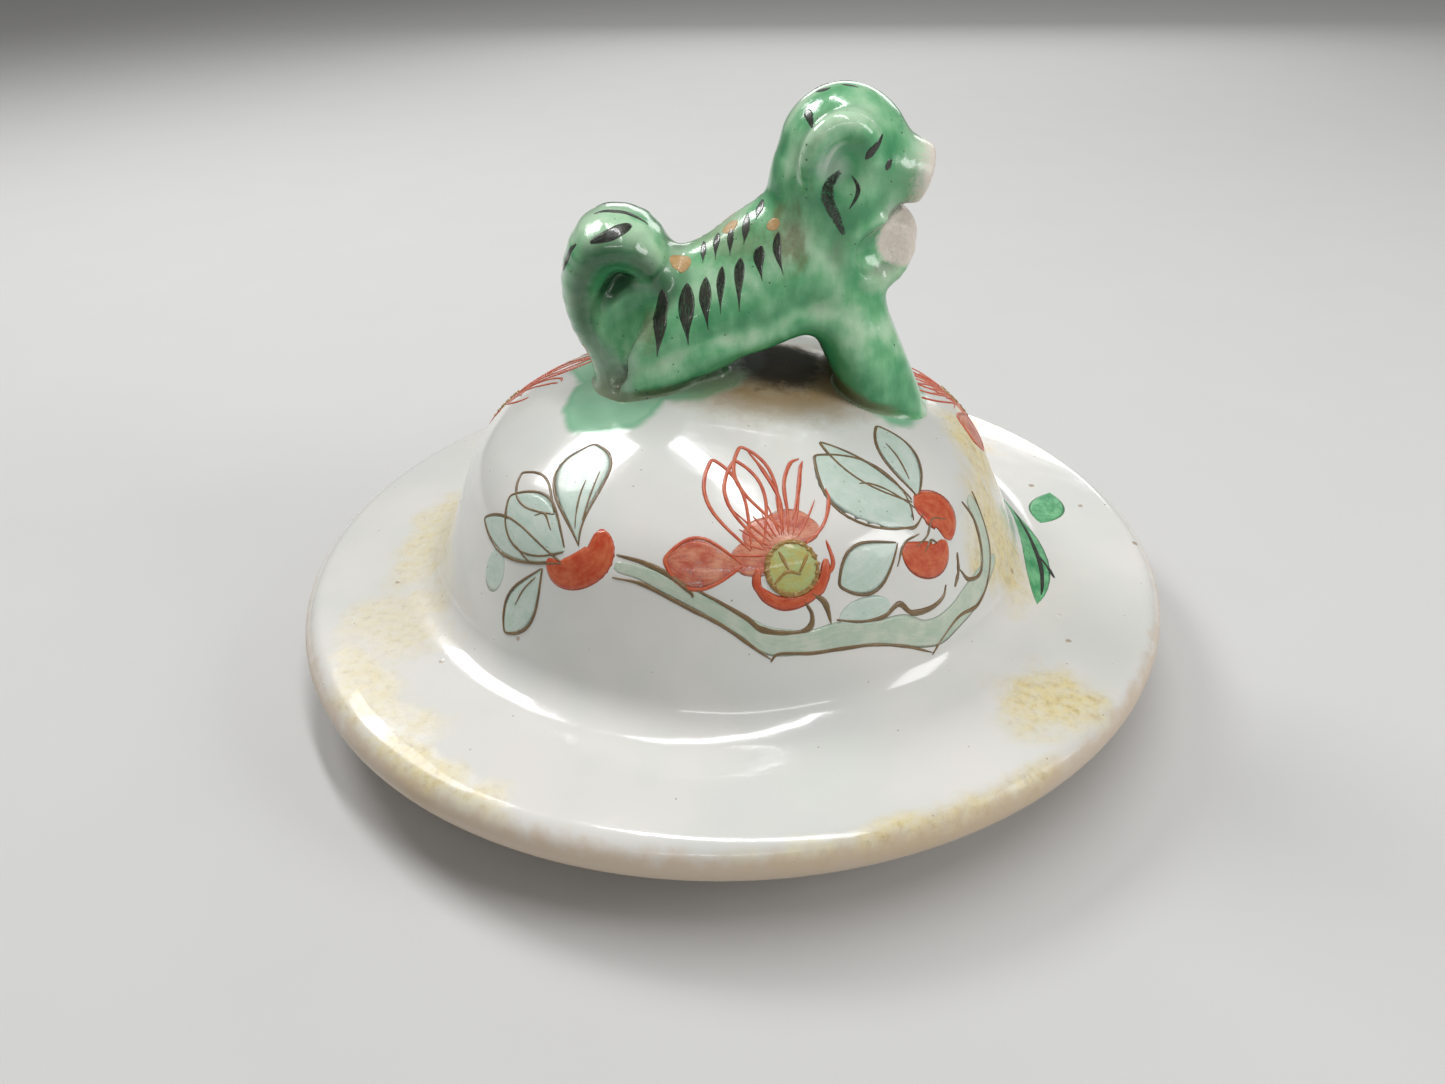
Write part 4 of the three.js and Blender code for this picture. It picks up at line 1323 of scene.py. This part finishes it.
        for label, turn in self.SPRAYS + tuple(("side_%d" % abs(t), t) for t in self.SIDES):
            self.red_blossom(LidBrush(lid, turn, seed=int(abs(turn)) + 11), label, width,
                             red_wash, red_solid, disc, ochre)
        return {"FINISHED"}

    def red_blossom(self, brush, label, width, red_wash, red_solid, disc, ochre):
        """Red petals round a dense red heart and a beaded yellow-green disc."""
        washes, lines = Coat(11), Coat(5)
        for base, tip, across, fullest, washed in self.RED:
            brush.petal(washes if washed else None, lines, base, tip, across, fullest,
                        line_width=1.15 * width)
        for centre, half_width, half_height in self.CORE:
            brush.spot(washes, centre, half_width, half_height, 0.035)
        for path in self.RED_LINES:
            brush.line(lines, path, 1.2 * width)
        scale = math.radians(float(brush.lid.radius_at(self.HEART[1])))
        for angle in np.radians(self.RAYS):
            aim = np.array([math.sin(angle) / scale, -math.cos(angle)])
            reach = brush.random.uniform(4.4, 7.4)
            brush.line(lines, [self.HEART + aim * 2.0, self.HEART + aim * reach], 0.8 * width,
                       low=0.1, peak=0.25)
        cup = [(5.2, 30.6), (5.0, 32.4), (8.6, 34.0), (13.6, 34.0), (17.2, 32.6), (18.6, 30.6)]
        brush.line(lines, cup, 1.3, low=0.3)
        washes.piece("red_petals_" + label, "iron_red", red_wash)
        lines.piece("red_lines_" + label, "iron_red", red_solid)
        centre = np.array([11.8, 30.9])
        half = np.array([5.2, 2.7])
        plate, beads = Coat(13), Coat(5)
        brush.spot(plate, centre, half[0] * scale, half[1], 0.12)
        angle = np.linspace(0, 2 * np.pi, 41)[:, None]
        edge = centre + half * 0.93 * np.hstack([np.cos(angle), np.sin(angle)])
        brush.line(beads, edge[::3], 0.6, lift=0.17, low=0.7)
        for spot in edge[:-1:2]:
            brush.spot(beads, spot, 0.28, 0.28, 0.24)
        for mark in ([(8.0, 32.2), (10.6, 31.2), (13.2, 31.6)], [(9.6, 29.2), (11.0, 31.0)],
                     [(13.0, 31.4), (15.2, 29.8)]):
            brush.line(beads, mark, 0.5, lift=0.19)
        plate.piece("yellow_disc_" + label, "yellow_enamel", disc)
        beads.piece("disc_beads_" + label, "ochre_enamel", ochre)


class JARLID_OT_branches(bpy.types.Operator):
    """Paint the crooked branch under the blossoms, its twigs, and the leaf on the flange"""
    bl_idname = "jarlid.branches"
    bl_label = "Branches and Leaves"

    LEAVES = (("front", 0.0), ("back", 118.0))

    BAND = ((-22.5, 30.1, 32.0), (-17, 30.4, 32.2), (-12, 31.2, 33.1), (-6.5, 32.5, 34.3),
            (-2, 33.7, 35.6), (3, 35.2, 37.4), (6.5, 36.2, 39.0), (13.5, 37.0, 39.4),
            (19, 36.8, 39.6), (25, 37.6, 40.0), (31, 38.0, 41.3), (35, 39.4, 42.3),
            (39, 39.9, 43.0), (44, 39.6, 42.6), (50, 38.6, 42.2), (56, 38.2, 41.4),
            (62, 38.4, 40.6))
    UPPER = (
        [(-22.5, 30.0), (-17, 30.3), (-12, 31.1), (-7.6, 32.6), (-6.8, 33.2)],
        [(-6.2, 32.4), (-2, 33.6), (2.6, 35.2), (5.2, 36.4), (9.6, 37.0), (13.4, 36.9),
         (14.4, 35.6), (13.0, 33.9)],
        [(14.9, 33.6), (17.0, 34.7), (17.7, 36.8)],
        [(18.8, 36.6), (23.5, 37.4), (28.0, 37.6), (31.6, 37.0), (34.0, 38.4), (38.4, 38.9),
         (42.0, 38.6), (43.6, 37.6)],
        [(48.6, 37.2), (50.4, 38.8), (54.6, 39.2), (57.6, 37.4), (58.6, 34.2), (56.4, 31.4)],
        [(45.8, 38.4), (48.0, 37.2), (49.2, 35.4)],
    )
    LOWER = (
        [(-22.5, 32.2), (-17, 32.3), (-12, 33.2), (-6.5, 34.5), (-2, 35.7), (2.6, 37.6),
         (6.6, 39.4)],
        [(6.4, 39.6), (8.0, 38.9), (13.5, 39.3), (19, 39.5), (25, 40.0), (31, 41.3),
         (36.4, 43.2)],
        [(36.2, 43.4), (40.0, 42.2), (45.0, 41.4), (51.0, 41.8), (57.0, 40.4), (61.0, 38.2),
         (62.4, 35.2), (62.0, 31.6)],
    )

    def execute(self, context):
        """The branch is a closed band along its middle, as wide as the gap between its two
        edges; the lines along its edges swell and fade like brushed lines."""
        sizes, look = sizes_of(context), look_of(context)
        lid = Lid(sizes)
        width = sizes.line_width / MM
        wash = enamel("aqua_branch", (0.50, 0.64, 0.50), (0.70, 0.76, 0.63), cloud=0.45,
                      solid=0.85, film=0.55, edge=0.2, relief=0.06)
        brown = enamel("dark_line_branch", look.line, (0.26, 0.17, 0.075), hairs=2.0, dry=0.5,
                       streaks=0.8, solid=0.94, film=0.6, edge=0.0, gloss=0.3)
        leaf_green = enamel("leaf_green", look.green, look.green_deep, cloud=0.5, solid=0.96,
                            film=0.75, edge=0.3, relief=0.1, gloss=0.5)
        vein = enamel("dark_line_vein", look.black, (0.05, 0.06, 0.04), hairs=4.0, dry=0.7,
                      thin=0.34, film=0.3, edge=0.0)
        band = np.array(self.BAND)
        for label, turn in JARLID_OT_blossoms.SPRAYS:
            brush = LidBrush(lid, turn, seed=int(turn) + 29)
            body, lines = Coat(9), Coat(5)
            rows = through(band, 90)
            path = np.stack([rows[:, 0], 0.5 * (rows[:, 1] + rows[:, 2])], 1)
            halves = 0.5 * (rows[:, 2] - rows[:, 1]) * swell(90, 0.3, 0.5, 0.25)
            brush.lay(body, path, halves, 0.03)
            fork = through([(56.0, 39.6), (59.4, 37.6), (60.4, 34.6), (59.4, 31.6)], 30)
            brush.lay(body, fork, 1.3 * swell(30, 0.35, 0.4, 0.4), 0.035)
            for points in self.UPPER:
                brush.line(lines, points, 1.55 * width)
            for points in self.LOWER:
                brush.line(lines, points, 1.25 * width)
            body.piece("branch_" + label, "aqua_enamel", wash)
            lines.piece("branch_lines_" + label, "dark_line", brown)
        for label, turn in self.LEAVES:
            brush = LidBrush(lid, turn, seed=int(turn) + 31)
            leaf, veins = Coat(11), Coat(5)
            brush.petal(leaf, None, (99.0, 45.0), (64.0, 47.6), 3.4, 0.6, lift=0.05)
            brush.petal(leaf, None, (101.0, 52.4), (91.0, 48.6), 4.6, 0.5, lift=0.05)
            brush.line(veins, [(94.0, 45.6), (84.0, 46.4), (76.0, 47.2), (67.0, 47.7)], 0.8)
            brush.line(veins, [(80.0, 46.8), (76.0, 48.0), (73.0, 48.8)], 0.5)
            leaf.piece("leaf_" + label, "green_enamel", leaf_green)
            veins.piece("leaf_vein_" + label, "dark_line", vein)
        return {"FINISHED"}


class JARLID_OT_stage(bpy.types.Operator):
    """Set the floor, the soft lights and the camera round the lid"""
    bl_idname = "jarlid.stage"
    bl_label = "Floor, Lights and Camera"

    def execute(self, context):
        """A pale floor, a large soft light, a weaker one from the side, and two long lights
        whose reflections lie along the shoulder of the dome."""
        light = context.scene.jar_lid_light
        corners = np.array([[-1, -1, 0], [1, -1, 0], [1, 1, 0], [-1, 1, 0]]) * 1.2
        mesh = bpy.data.meshes.new("floor")
        mesh.from_pydata(corners.tolist(), [], [(0, 1, 2, 3)])
        mesh.materials.append(plain_floor(light.floor))
        floor = bpy.data.objects.new("floor", mesh)
        context.scene.collection.objects.link(floor)
        target = Vector((0, 0, 0.025))
        self.area("key", (-0.26, 0.24, 0.40), target, (0.16, 0.16), light.key)
        self.area("fill", (0.44, -0.16, 0.26), target, (0.16, 0.24), 2.2 * light.fill)
        self.area("strip_front", (0.05, -0.46, 0.40), target, (0.50, 0.03), 0.4 * light.strip)
        self.area("strip_top", (0.05, 0.03, 0.55), target, (0.60, 0.05), 1.8 * light.strip)
        self.area("rear", (0.10, 0.50, 0.16), target, (0.40, 0.10), light.fill)
        context.scene.view_settings.view_transform = "Standard"
        world = bpy.data.worlds.new("studio")
        world.use_nodes = True
        backdrop = world.node_tree.nodes["Background"].inputs
        backdrop["Color"].default_value = (1.0, 0.99, 0.97, 1)
        backdrop["Strength"].default_value = light.sky
        context.scene.world = world
        self.camera(context)
        return {"FINISHED"}

    def area(self, name, place, target, size, power):
        """A rectangular light that faces the target, with its long side level."""
        data = bpy.data.lights.new(name, "AREA")
        data.shape = "RECTANGLE"
        data.size, data.size_y = size
        data.energy = power
        lamp = bpy.data.objects.new(name, data)
        lamp.location = place
        lamp.rotation_euler = (target - Vector(place)).to_track_quat("-Z", "Y").to_euler()
        bpy.context.scene.collection.objects.link(lamp)

    def camera(self, context):
        """Looks down at the lid's rim from in front of the lion's right side: aimed at the
        middle of the rim, then turned a little about its own up, side and sight lines."""
        elevation, distance, rim_height = 0.55997, 0.13278, 0.0106
        about_up, about_side, about_sight = 0.00623, -0.00431, -0.02940
        place = Vector((0, -math.cos(elevation), math.sin(elevation))) * distance
        aim = Matrix((Vector((1, 0, 0)), place.normalized().cross(Vector((1, 0, 0))),
                      place.normalized())).transposed().to_4x4()
        turn = (Matrix.Rotation(about_up, 4, "Y") @ Matrix.Rotation(about_side, 4, "X")
                @ Matrix.Rotation(about_sight, 4, "Z"))
        data = bpy.data.cameras.new("camera")
        data.lens, data.sensor_width, data.clip_start = 27.06, 36.0, 0.01
        camera = bpy.data.objects.new("camera", data)
        camera.matrix_world = Matrix.Translation(place + Vector((0, 0, rim_height))) @ aim @ turn
        context.scene.collection.objects.link(camera)
        context.scene.camera = camera


class JARLID_PT_panel(bpy.types.Panel):
    """The lid's sizes, colours and lights, and a button for each group of pieces"""
    bl_idname = "JARLID_PT_panel"
    bl_label = "Jar Lid"
    bl_space_type = "VIEW_3D"
    bl_region_type = "UI"
    bl_category = "Jar Lid"

    def draw(self, context):
        layout = self.layout
        for operator in OPERATORS:
            layout.operator(operator.bl_idname)
        for title, group in (("Sizes", sizes_of(context)), ("Colours", look_of(context)),
                             ("Light", context.scene.jar_lid_light)):
            box = layout.box()
            box.label(text=title)
            for key in group.bl_rna.properties.keys():
                if key not in {"rna_type", "name"}:
                    box.prop(group, key)


OPERATORS = (JARLID_OT_lid, JARLID_OT_lion, JARLID_OT_strokes, JARLID_OT_blossoms,
             JARLID_OT_branches, JARLID_OT_stage)
CLASSES = (JarLidSizes, JarLidLook, JarLidLight) + OPERATORS + (JARLID_PT_panel,)


def register():
    for cls in CLASSES:
        bpy.utils.register_class(cls)
    bpy.types.Scene.jar_lid_sizes = PointerProperty(type=JarLidSizes)
    bpy.types.Scene.jar_lid_look = PointerProperty(type=JarLidLook)
    bpy.types.Scene.jar_lid_light = PointerProperty(type=JarLidLight)


def unregister():
    del bpy.types.Scene.jar_lid_light
    del bpy.types.Scene.jar_lid_look
    del bpy.types.Scene.jar_lid_sizes
    for cls in reversed(CLASSES):
        bpy.utils.unregister_class(cls)


def main():
    register()
    bpy.ops.jarlid.lid()
    bpy.ops.jarlid.lion()
    bpy.ops.jarlid.strokes()
    bpy.ops.jarlid.blossoms()
    bpy.ops.jarlid.branches()
    bpy.ops.jarlid.stage()


if __name__ == "__main__":
    main()
